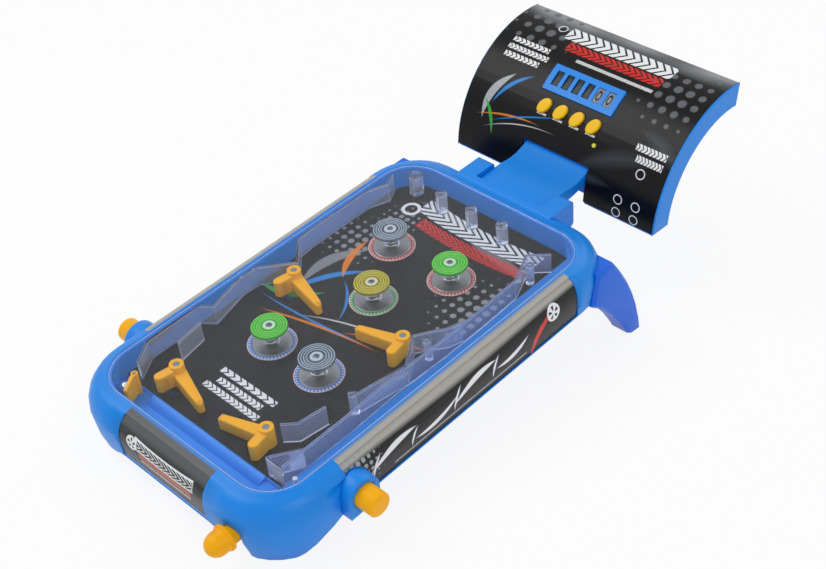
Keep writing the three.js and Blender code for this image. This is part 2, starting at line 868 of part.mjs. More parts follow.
// Flat cover with hanging guide walls and hollow posts, moulded as one
function clearCover() {
  const low = -fieldDepth + railGap;
  const top = -coverThickness + lap / 2;
  const kneeLeft = [upperLeft.x - kneeBack, upperLeft.y + kneeRise];
  const kneeRight = [upperRight.x + kneeSide, upperRight.y + kneeRise / 2];
  const rails = [
    [...leftLowerShares.map(onField), kneeLeft, ...leftUpperShares.map(onField)],
    shortRailShares.map(onField),
    rightVeeShares.map(onField),
    laneRailShares.map(onField),
    laneBraceShares.map(onField),
    [...midRailShares.map(onField), kneeRight, ...kneeRailShares.map(onField)],
  ];
  const posts = [
    ...[-1, 0, 1].map((i) => [playCentre + i * rearPostPitch, rearPostShare * coverLength, rearPostRadius]),
    ...sidePostShares.map((share) => [...onField(share), sidePostRadius]),
    [...onField(cornerPostShares), cornerPostRadius],
  ];
  let cover = insetPrism(0, -coverThickness, 0, coverBevel);
  rails.forEach((line) => {
    cover = cover.add(prism(ribbon(line, railThickness), low, top));
  });
  posts.forEach(([x, y, radius]) => {
    cover = cover.add(post(x, y, radius, low, top));
  });
  posts.forEach(([x, y, radius]) => {
    cover = cover.subtract(post(x, y, radius * postBoreShare, low + postFloor, overrun));
  });
  return cover;
}

function playBoard() {
  const low = -fieldDepth - boardThickness;
  let board = insetPrism(boardInset, low, -fieldDepth)
    .intersect(block(-halfWidth, laneEdge - seatGap, boardFront, coverLength, low, -fieldDepth));
  flipperSites.forEach((site) => {
    board = board
      .subtract(post(site.x, site.y, pinRadius + runningGap, low - overrun, 0))
      .subtract(driveSlot(site, low - overrun, 0));
  });
  return board;
}

// A flipper: tube boss on its pin, tapered blade, and a crank whose claw holds the drive pin
function flipper() {
  const low = -fieldDepth + flipperLift;
  const end = bladeLength + bladeTip;
  const chamfer = prism(outlineShape([
    [end - tipChamfer - overrun, -bladeDepth + overrun],
    [end + overrun, -bladeDepth - tipChamfer - overrun],
    [end + overrun, -bladeDepth + overrun],
  ]), -bladeRoot, bladeRoot).rotate([90, 0, 0]);
  const blade = prism(stadium(0, 0, bladeRoot, bladeLength, 0, bladeTip), low, -bladeDepth, flipperBevel)
    .subtract(chamfer)
    .rotate([0, 0, -degrees(flipperRest)]);
  const half = drivePinRadius + clawGap;
  const outer = half + clawWall;
  const roof = -crankDepth - crankRoof;
  const crank = prism(stadium(0, 0, outer, 0, -farPin, outer), low, -crankDepth, flipperBevel)
    .subtract(prism(stadium(0, -crankDrop, half, 0, -farPin, half), low - overrun, roof))
    .subtract(block(outer - mouthSink, outer + overrun, -farPin, -crankDrop + half, low - overrun, roof))
    .rotate([0, 0, -degrees(crankLead)]);
  return joined(blade, post(0, 0, bossRadius, low, coverSeat - bossDrop + seatGap, roundSteps), crank)
    .subtract(post(0, 0, pinRadius + runningGap, low - overrun, overrun, smallSteps));
}

// Bumper: a disc and post, a wire coil, and a ridged cap screwed down on them
function bumperCap() {
  const points = [
    [0, capFace], [screwRadius, capFace], [screwRadius + capEdge, capTop], [hubRadius, capTop],
    [hubRadius + capEdge, capFace],
  ];
  ridgeShares.forEach((share) => {
    const radius = capRadius * share;
    points.push([radius - ridgeHalf, capFace], [radius, capTop], [radius + ridgeHalf, capFace]);
  });
  points.push([capRadius - capEdge, capFace], [capRadius, capFace - capEdge], [capRadius, capFoot]);
  points.push([hubRadius, capFoot], [hubRadius, hubFoot], [0, hubFoot]);
  return lathe(points);
}

function bumperBase() {
  const low = -fieldDepth + discLift;
  return lathe([
    [0, low], [discRadius, low], [discRadius, low + discThickness], [bumperFoot, low + discThickness],
    [bumperPostRadius, low + bumperFootHeight], [bumperPostRadius, hubFoot - seatGap], [0, hubFoot - seatGap],
  ]);
}

function placeBumpers() {
  const low = -fieldDepth + discThickness + seatGap;
  const cap = geometryOf(bumperCap());
  const base = geometryOf(bumperBase());
  const wire = geometryOf(coil(coilRadius, coilWire, capFoot - seatGap - low, bumperCurls));
  const tints = ['smoke', 'green', 'lime', 'green', 'smoke'];
  bumperShares.map(onField).forEach(([x, y], i) => {
    place(`bumper_cap_${i + 1}`, cap, paints[tints[i]]).position.set(x, y, 0);
    place(`bumper_post_${i + 1}`, base, paints.steel).position.set(x, y, 0);
    place(`bumper_spring_${i + 1}`, wire, paints.steel).position.set(x, y, low);
  });
}

function placeFlippers() {
  const left = flipper();
  const shapes = { '-1': geometryOf(left), 1: geometryOf(mirrored(left)) };
  flipperSites.forEach(({ name, x, y, side }) => {
    place(name, shapes[side], paints.yellow).position.set(x, y, 0);
  });
}

// Button, collar, slide bar and return spring of one side
function button(side) {
  const along = (radius, x0, x1, endRadius) => rodAlongX(
    buttonY, -buttonDepth, radius, side * x0, side * x1, roundSteps, endRadius,
  );
  return joined(
    along(buttonRadius, buttonInner, buttonEnd - buttonDome),
    along(buttonRadius, buttonEnd - buttonDome, buttonEnd, buttonRadius - buttonDome),
    along(flangeRadius, buttonInner, buttonInner + flangeThickness),
  );
}

function collar(side) {
  const root = side * (halfWidth + collarRoot);
  const end = side * collarEnd;
  const z = -buttonDepth;
  const wide = collarRadius - collarTaper;
  return joined(
    rodAlongX(buttonY, z, collarRadius, root, end, roundSteps, wide),
    block(root, end, buttonY - wide, buttonY + wide, z - wide, z),
  )
    .subtract(rodAlongX(buttonY, z, buttonRadius + runningGap, root - side * overrun, end + side * overrun))
    .subtract(rodAlongX(
      buttonY, z, flangeBore, root - side * overrun, side * (buttonInner + flangeThickness + seatGap),
    ))
    .subtract(skirtEnvelope(seatGap));
}

function slideBar(side) {
  const [lower, upper] = side < 0 ? [lowerLeft, upperLeft] : [lowerRight, upperRight];
  const low = -barDepth - barThickness;
  const reach = drivePinRadius + armMargin;
  const spine = upper.driveX;
  const inner = spine - side * spineHalf;
  return joined(
    block(spine - spineHalf, spine + spineHalf, lower.driveY - reach, upper.driveY + reach, low, -barDepth),
    block(spine, lower.driveX - side * reach, lower.driveY - reach, lower.driveY + reach, low, -barDepth),
    block(spine, side * (buttonInner - seatGap), buttonY - spineHalf, buttonY + spineHalf, low, -barDepth),
    block(
      inner, inner + side * springSeatWidth, springY - springSeatHalf, springY + springSeatHalf,
      low - springDrop - returnRadius / 2, -barDepth + springDrop,
    ),
    ...[lower, upper].map((site) => post(
      site.driveX, site.driveY, drivePinRadius, low, -crankDepth - crankRoof - clawGap,
    )),
  );
}

function returnSpring(side) {
  const wire = geometryOf(coil(returnRadius, returnWire, springRoom - 2 * seatGap, returnCurls));
  wire.rotateY(side * Math.PI / 2);
  wire.translate(springStop(side) + side * seatGap, springY, -barDepth - barThickness / 2 - springDrop);
  return wire;
}

// Plunger: a knob on a square stem, a rod with the carrier of the striker, and its spring
function plungerKnob() {
  const body = knobRadius - knobNeck;
  const profile = [
    [0, 0], [knobRadius + knobRim, 0], [knobRadius + knobRim, knobRimWidth], [body, knobRimWidth],
  ];
  for (let i = 0; i < domeSteps; i += 1) {
    const turn = (Math.PI / 2) * (i / domeSteps);
    profile.push([body * Math.cos(turn), knobLength - knobRadius * (1 - Math.sin(turn))]);
  }
  profile.push([0, knobLength]);
  const z = -plungerDepth;
  const stemRoom = block(
    plungerX - archRadius, plungerX + archRadius, knobFace - overrun, 0, z - stemDrop, z + archRadius,
  );
  return lathe(profile, roundSteps).rotate([90, 0, 0]).translate([plungerX, knobFace, z])
    .add(rodAlongY(plungerX, z, stemRadius, knobFace - lap, stemEnd, roundSteps).intersect(stemRoom))
    .add(block(plungerX - stemRadius, plungerX + stemRadius, knobFace - lap, stemEnd, z - stemDrop, z))
    .subtract(rodAlongY(plungerX, z, rodRadius + seatGap, stemEnd - knobSocket, 0, smallSteps));
}

function plungerRod() {
  const z = -plungerDepth;
  return joined(
    rodAlongY(plungerX, z, rodRadius, stemEnd - knobSocket + seatGap, rodEnd, smallSteps),
    block(
      plungerX - carrierHalf, strikerX + carrierHalf / 2, carrierFront, carrierRear,
      z - carrierHalf, floorBottom - seatGap,
    ),
    post(strikerX, strikerY, strikerRadius, z, -strikerDepth),
  );
}

function plungerSpring() {
  const room = carrierFront - ribRear - 2 * seatGap;
  const wire = geometryOf(coil(plungerCoilRadius, plungerWire, room, plungerCurls));
  wire.rotateX(-Math.PI / 2);
  wire.translate(plungerX, ribRear + seatGap, -plungerDepth);
  return wire;
}

// Ball gate: a paddle on an upright pin across the left end of the trough
function ballGate() {
  const low = troughFloor + gateLift;
  const top = coverSeat - gateDrop - seatGap;
  const profile = outlineShape([
    [0, low + lap], [gateReach - gateNotch, low + lap / 2], [gateReach, low + gateNotch],
    [gateReach, top - gateNotch], [gateNotch, top], [0, top],
  ]);
  const paddle = prism(profile, -gateHalf, gateHalf, seatGap)
    .rotate([90, 0, 0]).rotate([0, 0, degrees(gateTurn)]).translate([gateX, gateY, 0]);
  return joined(post(gateX, gateY, gatePinRadius + gateWall, low, top), paddle)
    .subtract(post(gateX, gateY, gatePinRadius + runningGap, -skirtDepth, 0));
}

function steelBall() {
  const geometry = new THREE.SphereGeometry(ballRadius, 14, 8);
  geometry.rotateX(Math.PI / 2);
  geometry.translate(ballX, ballY, troughFloor + ballRadius + discLift);
  return solid(geometry);
}

// Plate that closes the housing from below
function undersidePlate() {
  const low = plateTop - plateThickness;
  const outline = stations().map(({ x, y, nx, ny, spread }) => {
    const offset = spread - skirtWall - sideTaper - plateMargin;
    return [x + nx * offset, y + ny * offset];
  });
  let plate = prism(outlineShape(outline), low, plateTop);
  boltShares.map(onField).forEach(([x, y]) => {
    plate = plate.subtract(post(x, y, boltHole, low - overrun, plateTop + overrun, smallSteps / 2));
  });
  return plate;
}

// Rear leg: a claw that hugs the corner and reaches back to the ground
function rearLeg() {
  const [bend, lift] = legBendShares;
  const shape = new THREE.Shape();
  shape.moveTo(legFront, -legRootDepth);
  shape.quadraticCurveTo(
    legFront + (legHeel - legFront) * bend, -legRootDepth - (legFloor - legRootDepth) * lift,
    legHeel, -legFloor,
  );
  shape.lineTo(legToe, -legFloor);
  shape.quadraticCurveTo(legToe - overrun, -(legTop + legFloor) / 2, legShoulder, -legTop);
  shape.lineTo(legCrown, -legTop);
  return acrossX(shape, legInner, legOuter, legBevel, 6)
    .transform([1, 0, 0, 0, 0, 1, 0, 0, -legSplay, 0, 1, 0, -legSplay * shoulderDepth, 0, 0, 1])
    .subtract(skirtEnvelope(seatGap))
    .subtract(belowFloor());
}

// Head: sectors around the head's own axis, drawn in Y and Z and run along X
function sector(inner, outer, from, to, x0, x1, steps = 6, bevel = 0) {
  const arc = (radius) => Array.from({ length: steps + 1 }, (_, i) => {
    const turn = from + (to - from) * (i / steps);
    return [radius * Math.cos(turn), radius * Math.sin(turn)];
  });
  return acrossX(outlineShape([...arc(outer), ...arc(inner).reverse()]), x0, x1, bevel)
    .translate([0, headAxisY, -headAxisDepth]);
}

// A straight prism square to the head's face, at an angle around its axis
function onFace(shape, angle, x, low, high, bevel = 0, steps = 3) {
  return prism(shape, low, high, bevel, steps)
    .rotate([degrees(angle) - 90, 0, 0])
    .translate([x, headAxisY, -headAxisDepth]);
}

function ovalShape(grow) {
  const shape = new THREE.Shape();
  shape.absellipse(0, 0, keyLong + grow, keyShort + grow, 0, 2 * Math.PI, false, Math.PI / 2 - keySlant);
  return shape;
}

function circleShape(radius) {
  const shape = new THREE.Shape();
  shape.absarc(0, 0, radius, 0, 2 * Math.PI);
  return shape;
}

function headHollow(face) {
  const low = headInner + shellWall;
  const wide = panelHalf - overrun;
  const neckRoom = neckHalf + pocketSide + shellWall;
  const bayRoom = bayHalf - shellWall;
  return sector(low, face + lap, headTop + endAngle, headBottom - endAngle, -wide, wide, headSteps)
    .add(sector(low - bayDepth, low + lap, bayFrom + endAngle, bayTo - endAngle, -bayRoom, bayRoom))
    .subtract(sector(
      headInner, headRadius, pocketTop - endAngle, headBottom + endAngle, -neckRoom, neckRoom,
    ));
}

function headShell() {
  const face = headRadius - panelThickness - seatGap;
  const cut = headRadius + overrun;
  const bayFloor = headInner - bayDepth;
  const doorHalf = bayHalf - bayRimWidth;
  const pocketHalf = neckHalf + pocketSide;
  const panelRoom = panelHalf + seatGap;
  let shell = sector(
    headInner, headRadius + headLip, headTop - endAngle, headBottom + endAngle, -headHalf, headHalf,
    headSteps, headBevel,
  )
    .add(sector(bayFloor, headInner + lap, bayFrom, bayTo, -bayHalf, bayHalf, 6, bayBevel))
    .subtract(sector(
      face, cut, headTop - 3 * endAngle, headBottom + 3 * endAngle, -panelRoom, panelRoom, headSteps + 4,
    ))
    .subtract(headHollow(face))
    .subtract(sector(
      bayFloor - overrun, bayFloor + shellWall + lap, bayFrom + bayRim, bayTo - bayRim, -doorHalf, doorHalf,
    ))
    .subtract(sector(pocketFloor, cut, pocketTop, headBottom + 4 * endAngle, -pocketHalf, pocketHalf));
  const standoff = circleShape(standoffRadius);
  [-1, 1].forEach((side) => [circuitFrom + standoffAngle, circuitTo - standoffAngle].forEach((angle) => {
    shell = shell.add(onFace(standoff, angle, side * standoffX, headInner + lap, circuitInner - seatGap));
  }));
  return shell;
}

function headPanel() {
  const low = headRadius - panelThickness;
  const from = low - overrun;
  const to = headRadius + overrun;
  const pocketHalf = neckHalf + pocketSide;
  const bezelRoom = bezelHalf + seatGap;
  let panel = sector(low, headRadius, headTop, headBottom, -panelHalf, panelHalf, headSteps + 4)
    .subtract(sector(from, to, pocketTop - fitAngle, headBottom + endAngle, -pocketHalf, pocketHalf))
    .subtract(sector(from, to, bezelFrom - fitAngle, bezelTo + fitAngle, -bezelRoom, bezelRoom));
  keyXs.forEach((x) => {
    panel = panel.subtract(onFace(ovalShape(runningGap), keyAngle, x, from, to, 0, 4));
  });
  return panel.subtract(onFace(circleShape(lampRadius + lampGap), lampAngle, lampX, from, to));
}

function displayBezel() {
  const low = headRadius - bezelDepth;
  const from = bezelFrom + windowMargin;
  const to = bezelTo - windowMargin;
  let bezel = sector(low, headRadius + bezelRaise, bezelFrom, bezelTo, -bezelHalf, bezelHalf, 4, bezelBevel);
  for (let i = 0; i < windowCount; i += 1) {
    const x = (i - (windowCount - 1) / 2) * windowPitch;
    bezel = bezel.subtract(sector(
      low - overrun, headRadius + overrun, from, to, x - windowHalf, x + windowHalf, 2,
    ));
  }
  return bezel;
}

function displayGlass() {
  const top = headRadius - bezelDepth - seatGap;
  const half = bezelHalf - glassMargin;
  return sector(top - glassThickness, top, bezelFrom + fitAngle, bezelTo - fitAngle, -half, half, 4);
}

function modeKey(x) {
  const top = headRadius - panelThickness - seatGap - keyFlangeDrop;
  return joined(
    onFace(ovalShape(0), keyAngle, x, keyFoot, headRadius + keyRaise, keyBevel, 4),
    onFace(ovalShape(keyFlange), keyAngle, x, top - keyFlangeThickness, top, 0, 4),
  );
}

function statusLamp() {
  return onFace(circleShape(lampRadius), lampAngle, lampX, keyFoot, headRadius + lap, seatGap);
}

function circuitBoard() {
  return sector(circuitInner, circuitOuter, circuitFrom, circuitTo, -circuitHalf, circuitHalf, 8);
}

function batteryDoor() {
  const low = headInner - bayDepth;
  const half = bayHalf - bayRimWidth - seatGap;
  const edge = bayRim + fitAngle;
  return sector(low, low + doorThickness, bayFrom + edge, bayTo - edge, -half, half);
}

function cell(step) {
  const reach = headInner - bayDepth + doorThickness + seatGap + cellRadius;
  const angle = (bayFrom + bayTo) / 2 + step * (cellRadius + cellGap / 2) / reach;
  const y = headAxisY + reach * Math.cos(angle);
  const z = -headAxisDepth + reach * Math.sin(angle);
  return joined(
    rodAlongX(y, z, cellRadius, -cellHalf, cellHalf - cellCap, 16),
    rodAlongX(y, z, cellCapRadius, cellHalf - cellCap - lap, cellHalf, 8),
  );
}

// Neck: flat deck behind the rim, a dip, then a rise into the head's pocket
function neckArm() {
  const shape = new THREE.Shape();
  const top = Math.PI - Math.asin(deckHeight / neckFrontRadius);
  const bottom = Math.PI + Math.asin(bellyHeight / neckFrontRadius);
  shape.absarc(hingeY, -hingeDepth, neckFrontRadius, top, bottom);
  shape.lineTo(deckEnd, -hingeDepth - bellyHeight);
  shape.quadraticCurveTo(neckBellyMid, -hingeDepth - bellyHeight, neckEnd, neckTopHeight - neckThickness);
  shape.lineTo(neckEnd, neckTopHeight);
  shape.lineTo(neckRise, neckRiseHeight);
  shape.quadraticCurveTo(neckDip, -neckDipDepth, deckEnd, -hingeDepth + deckHeight);
  const inPocket = sector(
    pocketFloor + seatGap, headRadius + bracketRear, pocketTop + fitAngle, headBottom + 4 * endAngle,
    -coverWidth, coverWidth, smallSteps,
  );
  const beforeHead = block(
    -coverWidth, coverWidth, hingeY - 2 * hingeDepth, headAxisY - headRadius + overrun,
    -headRadius, headRadius,
  );
  return acrossX(shape, -neckHalf, neckHalf, neckBevel, 4)
    .intersect(inPocket.add(beforeHead))
    .subtract(rodAlongX(hingeY, -hingeDepth, hingePinRadius + seatGap, -coverWidth, coverWidth, smallSteps));
}

function hingePin() {
  const reach = neckHalf + hingeSocket - seatGap;
  return rodAlongX(hingeY, -hingeDepth, hingePinRadius, -reach, reach, smallSteps);
}

const collarRoom = rodAlongX(buttonY, -buttonDepth, collarRadius + seatGap, halfWidth, buttonEnd)
  .add(block(halfWidth, buttonEnd, 0, buttonY + collarRadius + seatGap, -skirtDepth, -buttonDepth));
const sideLabel = sideStrip(labelSink, labelThickness, sideLabelFront, sideLabelRear).subtract(collarRoom);
const leg = rearLeg();
place('base_housing', baseHousing(), paints.blue);
place('underside_plate', undersidePlate(), paints.darkBlue);
place('front_label_panel', frontStrip(labelSink, labelThickness, frontLabelHalf), paints.black);
place('right_label_panel', sideLabel, paints.black);
place('left_label_panel', mirrored(sideLabel), paints.black);
place('rear_leg_right', leg, paints.darkBlue);
place('rear_leg_left', mirrored(leg), paints.darkBlue);
place('play_board', playBoard(), paints.black);
place('clear_cover', clearCover(), paints.clear);
placeBumpers();
placeFlippers();
[['left', -1], ['right', 1]].forEach(([name, side]) => {
  place(`${name}_button`, button(side), paints.yellow);
  place(`${name}_button_collar`, collar(side), paints.blue);
  place(`${name}_slide_bar`, slideBar(side), paints.grey);
  place(`${name}_return_spring`, returnSpring(side), paints.steel);
});
place('plunger_knob', plungerKnob(), paints.yellow);
place('plunger_rod', plungerRod(), paints.pale);
place('plunger_spring', plungerSpring(), paints.steel);
place('ball_gate', ballGate(), paints.yellow);
place('steel_ball', steelBall(), paints.steel);
place('neck_arm', neckArm(), paints.blue);
place('neck_hinge_pin', hingePin(), paints.steel);
place('head_rear_shell', headShell(), paints.blue);
place('head_front_panel', headPanel(), paints.black);
place('display_bezel', displayBezel(), paints.blue);
place('display_glass', displayGlass(), paints.grey);
keyXs.forEach((x, i) => place(`mode_key_${i + 1}`, modeKey(x), paints.yellow));
place('status_lamp', statusLamp(), paints.lime);
place('circuit_board', circuitBoard(), paints.circuit);
place('battery_door', batteryDoor(), paints.darkBlue);
place('battery_cell_1', cell(-1), paints.grey);
place('battery_cell_2', cell(1), paints.grey);

console.log(`least gap between a coil's turns: ${Math.min(...coilGaps).toFixed(2)} mm`);

// Origin below the middle of the whole machine
model.updateMatrixWorld(true);
const extent = new THREE.Box3().setFromObject(model, true);
model.position.set(-(extent.min.x + extent.max.x) / 2, -(extent.min.y + extent.max.y) / 2, -extent.min.z);
model.updateMatrixWorld(true);

export default model;
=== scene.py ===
import json
import math
import bpy
from mathutils import Euler, Matrix, Vector


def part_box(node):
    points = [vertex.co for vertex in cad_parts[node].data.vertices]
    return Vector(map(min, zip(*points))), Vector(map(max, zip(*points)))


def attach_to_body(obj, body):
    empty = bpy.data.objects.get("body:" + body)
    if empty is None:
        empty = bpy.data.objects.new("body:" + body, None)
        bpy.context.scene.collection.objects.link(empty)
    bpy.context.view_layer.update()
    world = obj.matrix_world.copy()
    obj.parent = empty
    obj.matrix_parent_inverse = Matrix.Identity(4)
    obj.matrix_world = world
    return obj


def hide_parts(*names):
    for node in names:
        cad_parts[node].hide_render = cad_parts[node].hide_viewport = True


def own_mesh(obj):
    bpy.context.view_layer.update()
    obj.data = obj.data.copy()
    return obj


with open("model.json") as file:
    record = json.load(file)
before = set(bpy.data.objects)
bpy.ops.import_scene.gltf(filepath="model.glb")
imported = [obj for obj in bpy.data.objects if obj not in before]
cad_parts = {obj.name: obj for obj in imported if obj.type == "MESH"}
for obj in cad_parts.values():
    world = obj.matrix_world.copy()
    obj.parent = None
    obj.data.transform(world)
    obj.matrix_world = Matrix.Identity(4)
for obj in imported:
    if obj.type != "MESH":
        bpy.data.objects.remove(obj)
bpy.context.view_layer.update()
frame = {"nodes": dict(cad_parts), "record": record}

bodyOf = {node: body for body, nodes in frame["record"]["behaviour"]["bodies"].items() for node in nodes}

# the table's own frame, for the print and the new pieces: millimetres, Z square to the field
table = {"slope": math.radians(6.5), "setback": -0.240887, "rise": 0.057627}
toWorld = (Matrix.Translation((0, table["setback"], table["rise"]))
           @ Matrix.Rotation(table["slope"], 4, "X") @ Matrix.Scale(0.001, 4))


def tint(code):  # a six-figure colour to the linear values that shaders take
    parts = [int(code[i:i + 2], 16) / 255 for i in (0, 2, 4)]
    return tuple(p / 12.92 if p <= 0.04045 else ((p + 0.055) / 1.055) ** 2.4 for p in parts) + (1,)


# ---- small tools for node trees
def feed(tree, socket, value):
    if isinstance(value, bpy.types.NodeSocket):
        tree.links.new(value, socket)
    else:
        socket.default_value = value


def calc(tree, operation, *values, clamp=False):
    step = tree.nodes.new("ShaderNodeMath")
    step.operation = operation
    step.use_clamp = clamp
    for socket, value in zip(step.inputs, values):
        feed(tree, socket, value)
    return step.outputs[0]


def times(tree, value, other):
    return calc(tree, "MULTIPLY", value, other)


def layer(tree, below, above, mask):
    step = tree.nodes.new("ShaderNodeMix")
    step.data_type = "RGBA"
    feed(tree, step.inputs[0], mask)
    feed(tree, step.inputs[6], below)
    feed(tree, step.inputs[7], above)
    return step.outputs[2]


def split(tree, vector):
    step = tree.nodes.new("ShaderNodeSeparateXYZ")
    feed(tree, step.inputs[0], vector)
    return step.outputs


def combine(tree, x, y, z=0.0):
    step = tree.nodes.new("ShaderNodeCombineXYZ")
    for socket, value in zip(step.inputs, (x, y, z)):
        feed(tree, socket, value)
    return step.outputs[0]


def softStep(tree, value, edge, width):  # 1 where value is below edge
    return calc(tree, "MULTIPLY_ADD", calc(tree, "SUBTRACT", edge, value), 1 / width, 0.5, clamp=True)


def lengthOf(tree, vector):
    step = tree.nodes.new("ShaderNodeVectorMath")
    step.operation = "LENGTH"
    feed(tree, step.inputs[0], vector)
    return step.outputs["Value"]


def noise(tree, vector, scale, detail=2.0):
    step = tree.nodes.new("ShaderNodeTexNoise")
    feed(tree, step.inputs["Vector"], vector)
    step.inputs["Scale"].default_value = scale
    step.inputs["Detail"].default_value = detail
    return step.outputs["Fac"]


def placed(tree, vector, x=0, y=0, z=0, turn=0.0, tilt=0.0, lean=0.0, scale=(1, 1, 1)):
    step = tree.nodes.new("ShaderNodeMapping")
    step.vector_type = "TEXTURE"
    feed(tree, step.inputs["Vector"], vector)
    step.inputs["Location"].default_value = (x, y, z)
    step.inputs["Rotation"].default_value = tuple(math.radians(a) for a in (tilt, lean, turn))
    step.inputs["Scale"].default_value = scale
    return step.outputs[0]


def spotAt(tree, here, x, y, long=1, high=1, turn=0):  # a mark's own place, its half sizes made 1
    return placed(tree, here, x=x, y=y, turn=turn, scale=(long, high, 1))


def apart(tree, value, other):  # how far one value is from the other
    return calc(tree, "ABSOLUTE", calc(tree, "SUBTRACT", value, other))


def ramp(tree, value, low, high):  # 0 up to low, 1 from high
    return calc(tree, "MULTIPLY_ADD", value, 1 / (high - low), -low / (high - low), clamp=True)


def mixShaders(tree, mask, first, second):
    mix = tree.nodes.new("ShaderNodeMixShader")
    for socket, output in zip(mix.inputs, (mask, first, second)):
        tree.links.new(output, socket)
    return mix.outputs[0]


def newGroup(name, inputs, outputs):
    group = bpy.data.node_groups.new(name, "ShaderNodeTree")
    for label, kind, value in inputs:
        socket = group.interface.new_socket(label, in_out="INPUT", socket_type="NodeSocket" + kind)
        if value is not None:
            socket.default_value = value
    for label, kind in outputs:
        group.interface.new_socket(label, in_out="OUTPUT", socket_type="NodeSocket" + kind)
    return group, group.nodes.new("NodeGroupInput").outputs, group.nodes.new("NodeGroupOutput").inputs


def use(tree, group, **values):
    step = tree.nodes.new("ShaderNodeGroup")
    step.node_tree = group
    for label, value in values.items():
        feed(tree, step.inputs[label], value)
    return step.outputs


def paint(tree, below, code, group, spot, strength=1, **values):  # one mark over the colours below it
    mask = use(tree, group, Vector=spot, **values)["Mask"]
    return layer(tree, below, tint(code), times(tree, mask, strength) if strength < 1 else mask)


# ---- effects that several materials share
moulded = {  # noise scales are per metre
    "drift": 14, "driftRough": 0.08, "driftHeight": 0.6, "grain": 1500,
    "scuff": 160, "scuffLong": 0.12, "scuffGain": 6, "scuffBase": -3.6, "scuffRough": 0.07,
    "bump": 0.12, "depth": 0.00004, "coatRough": 0.12,
}


def makeMouldedSurface():  # slow colour drift, a few scuffs and the fine grain of a moulded face
    g, source, out = newGroup("mouldedSurface", [
        ("Vector", "Vector", None), ("Colour", "Color", (0.5, 0.5, 0.5, 1)), ("Drift", "Float", 0.06),
        ("Gloss", "Float", 0.3), ("Grain", "Float", 1.0),
    ], [("Colour", "Color"), ("Roughness", "Float"), ("Height", "Float")])
    drift = noise(g, source["Vector"], moulded["drift"])
    shade = calc(g, "MULTIPLY_ADD", calc(g, "SUBTRACT", drift, 0.5), source["Drift"], 1)
    dim = g.nodes.new("ShaderNodeVectorMath")
    dim.operation = "SCALE"
    g.links.new(source["Colour"], dim.inputs[0])
    g.links.new(shade, dim.inputs["Scale"])
    g.links.new(dim.outputs[0], out["Colour"])
    strokes = noise(g, placed(g, source["Vector"], scale=(1, moulded["scuffLong"], 1)), moulded["scuff"], 4)
    scuffs = calc(g, "MULTIPLY_ADD", strokes, moulded["scuffGain"], moulded["scuffBase"], clamp=True)
    rough = calc(g, "MULTIPLY_ADD", drift, moulded["driftRough"], source["Gloss"])
    g.links.new(calc(g, "MULTIPLY_ADD", scuffs, moulded["scuffRough"], rough), out["Roughness"])
    grain = times(g, noise(g, source["Vector"], moulded["grain"]), source["Grain"])
    g.links.new(calc(g, "MULTIPLY_ADD", drift, moulded["driftHeight"], grain), out["Height"])
    return g


def makeDotScreen():  # rows of round dots that shrink away from the middle of the group
    g, source, out = newGroup("dotScreen", [
        ("Vector", "Vector", None), ("Pitch", "Float", 5.0), ("Dot", "Float", 0.45),
        ("Reach", "Float", 25.0)], [("Mask", "Float")])
    x, y = split(g, source["Vector"])[:2]
    cells = []
    for value in (x, y):
        cell = calc(g, "FRACT", calc(g, "DIVIDE", value, source["Pitch"]))
        cells.append(calc(g, "SUBTRACT", cell, 0.5))
    far = calc(g, "DIVIDE", lengthOf(g, combine(g, x, y)), source["Reach"])
    fade = calc(g, "SUBTRACT", 1, times(g, far, far), clamp=True)
    size = times(g, source["Dot"], fade)
    mask = softStep(g, lengthOf(g, combine(g, *cells)), size, 0.09)
    g.links.new(times(g, mask, softStep(g, far, 0.97, 0.05)), out["Mask"])
    return g


def makeRingBand():  # one ring, with ticks cut through it
    g, source, out = newGroup("ringBand", [
        ("Vector", "Vector", None), ("Radius", "Float", 17.9), ("Width", "Float", 3.4),
        ("Ticks", "Float", 0.0)], [("Mask", "Float"), ("Ticks", "Float")])
    x, y = split(g, source["Vector"])[:2]
    off = apart(g, lengthOf(g, combine(g, x, y)), source["Radius"])
    band = softStep(g, off, times(g, source["Width"], 0.5), 0.25)
    g.links.new(band, out["Mask"])
    wave = calc(g, "SINE", times(g, calc(g, "ARCTAN2", y, x), source["Ticks"]))
    inner = softStep(g, off, times(g, source["Width"], 0.24), 0.25)
    marks = times(g, softStep(g, times(g, wave, -1), -0.25, 0.5), inner)
    g.links.new(marks, out["Ticks"])
    return g


def makeChevronRow():  # a row of slanted bars inside a box that reaches from -1 to 1 in X and Y
    g, source, out = newGroup("chevronRow", [
        ("Vector", "Vector", None), ("Bars", "Float", 8.0), ("Slant", "Float", 0.25),
        ("Fill", "Float", 0.62), ("Arch", "Float", 0.0)], [("Mask", "Float")])
    x, y = split(g, source["Vector"])[:2]
    y = calc(g, "ADD", y, times(g, times(g, x, x), source["Arch"]))
    lean = times(g, calc(g, "ABSOLUTE", y), source["Slant"])
    cell = calc(g, "FRACT", times(g, calc(g, "ADD", x, lean), source["Bars"]))
    across = softStep(g, calc(g, "ABSOLUTE", x), 1, 0.01)
    box = times(g, across, softStep(g, calc(g, "ABSOLUTE", y), 1, 0.06))
    g.links.new(times(g, softStep(g, cell, source["Fill"], 0.05), box), out["Mask"])
    return g


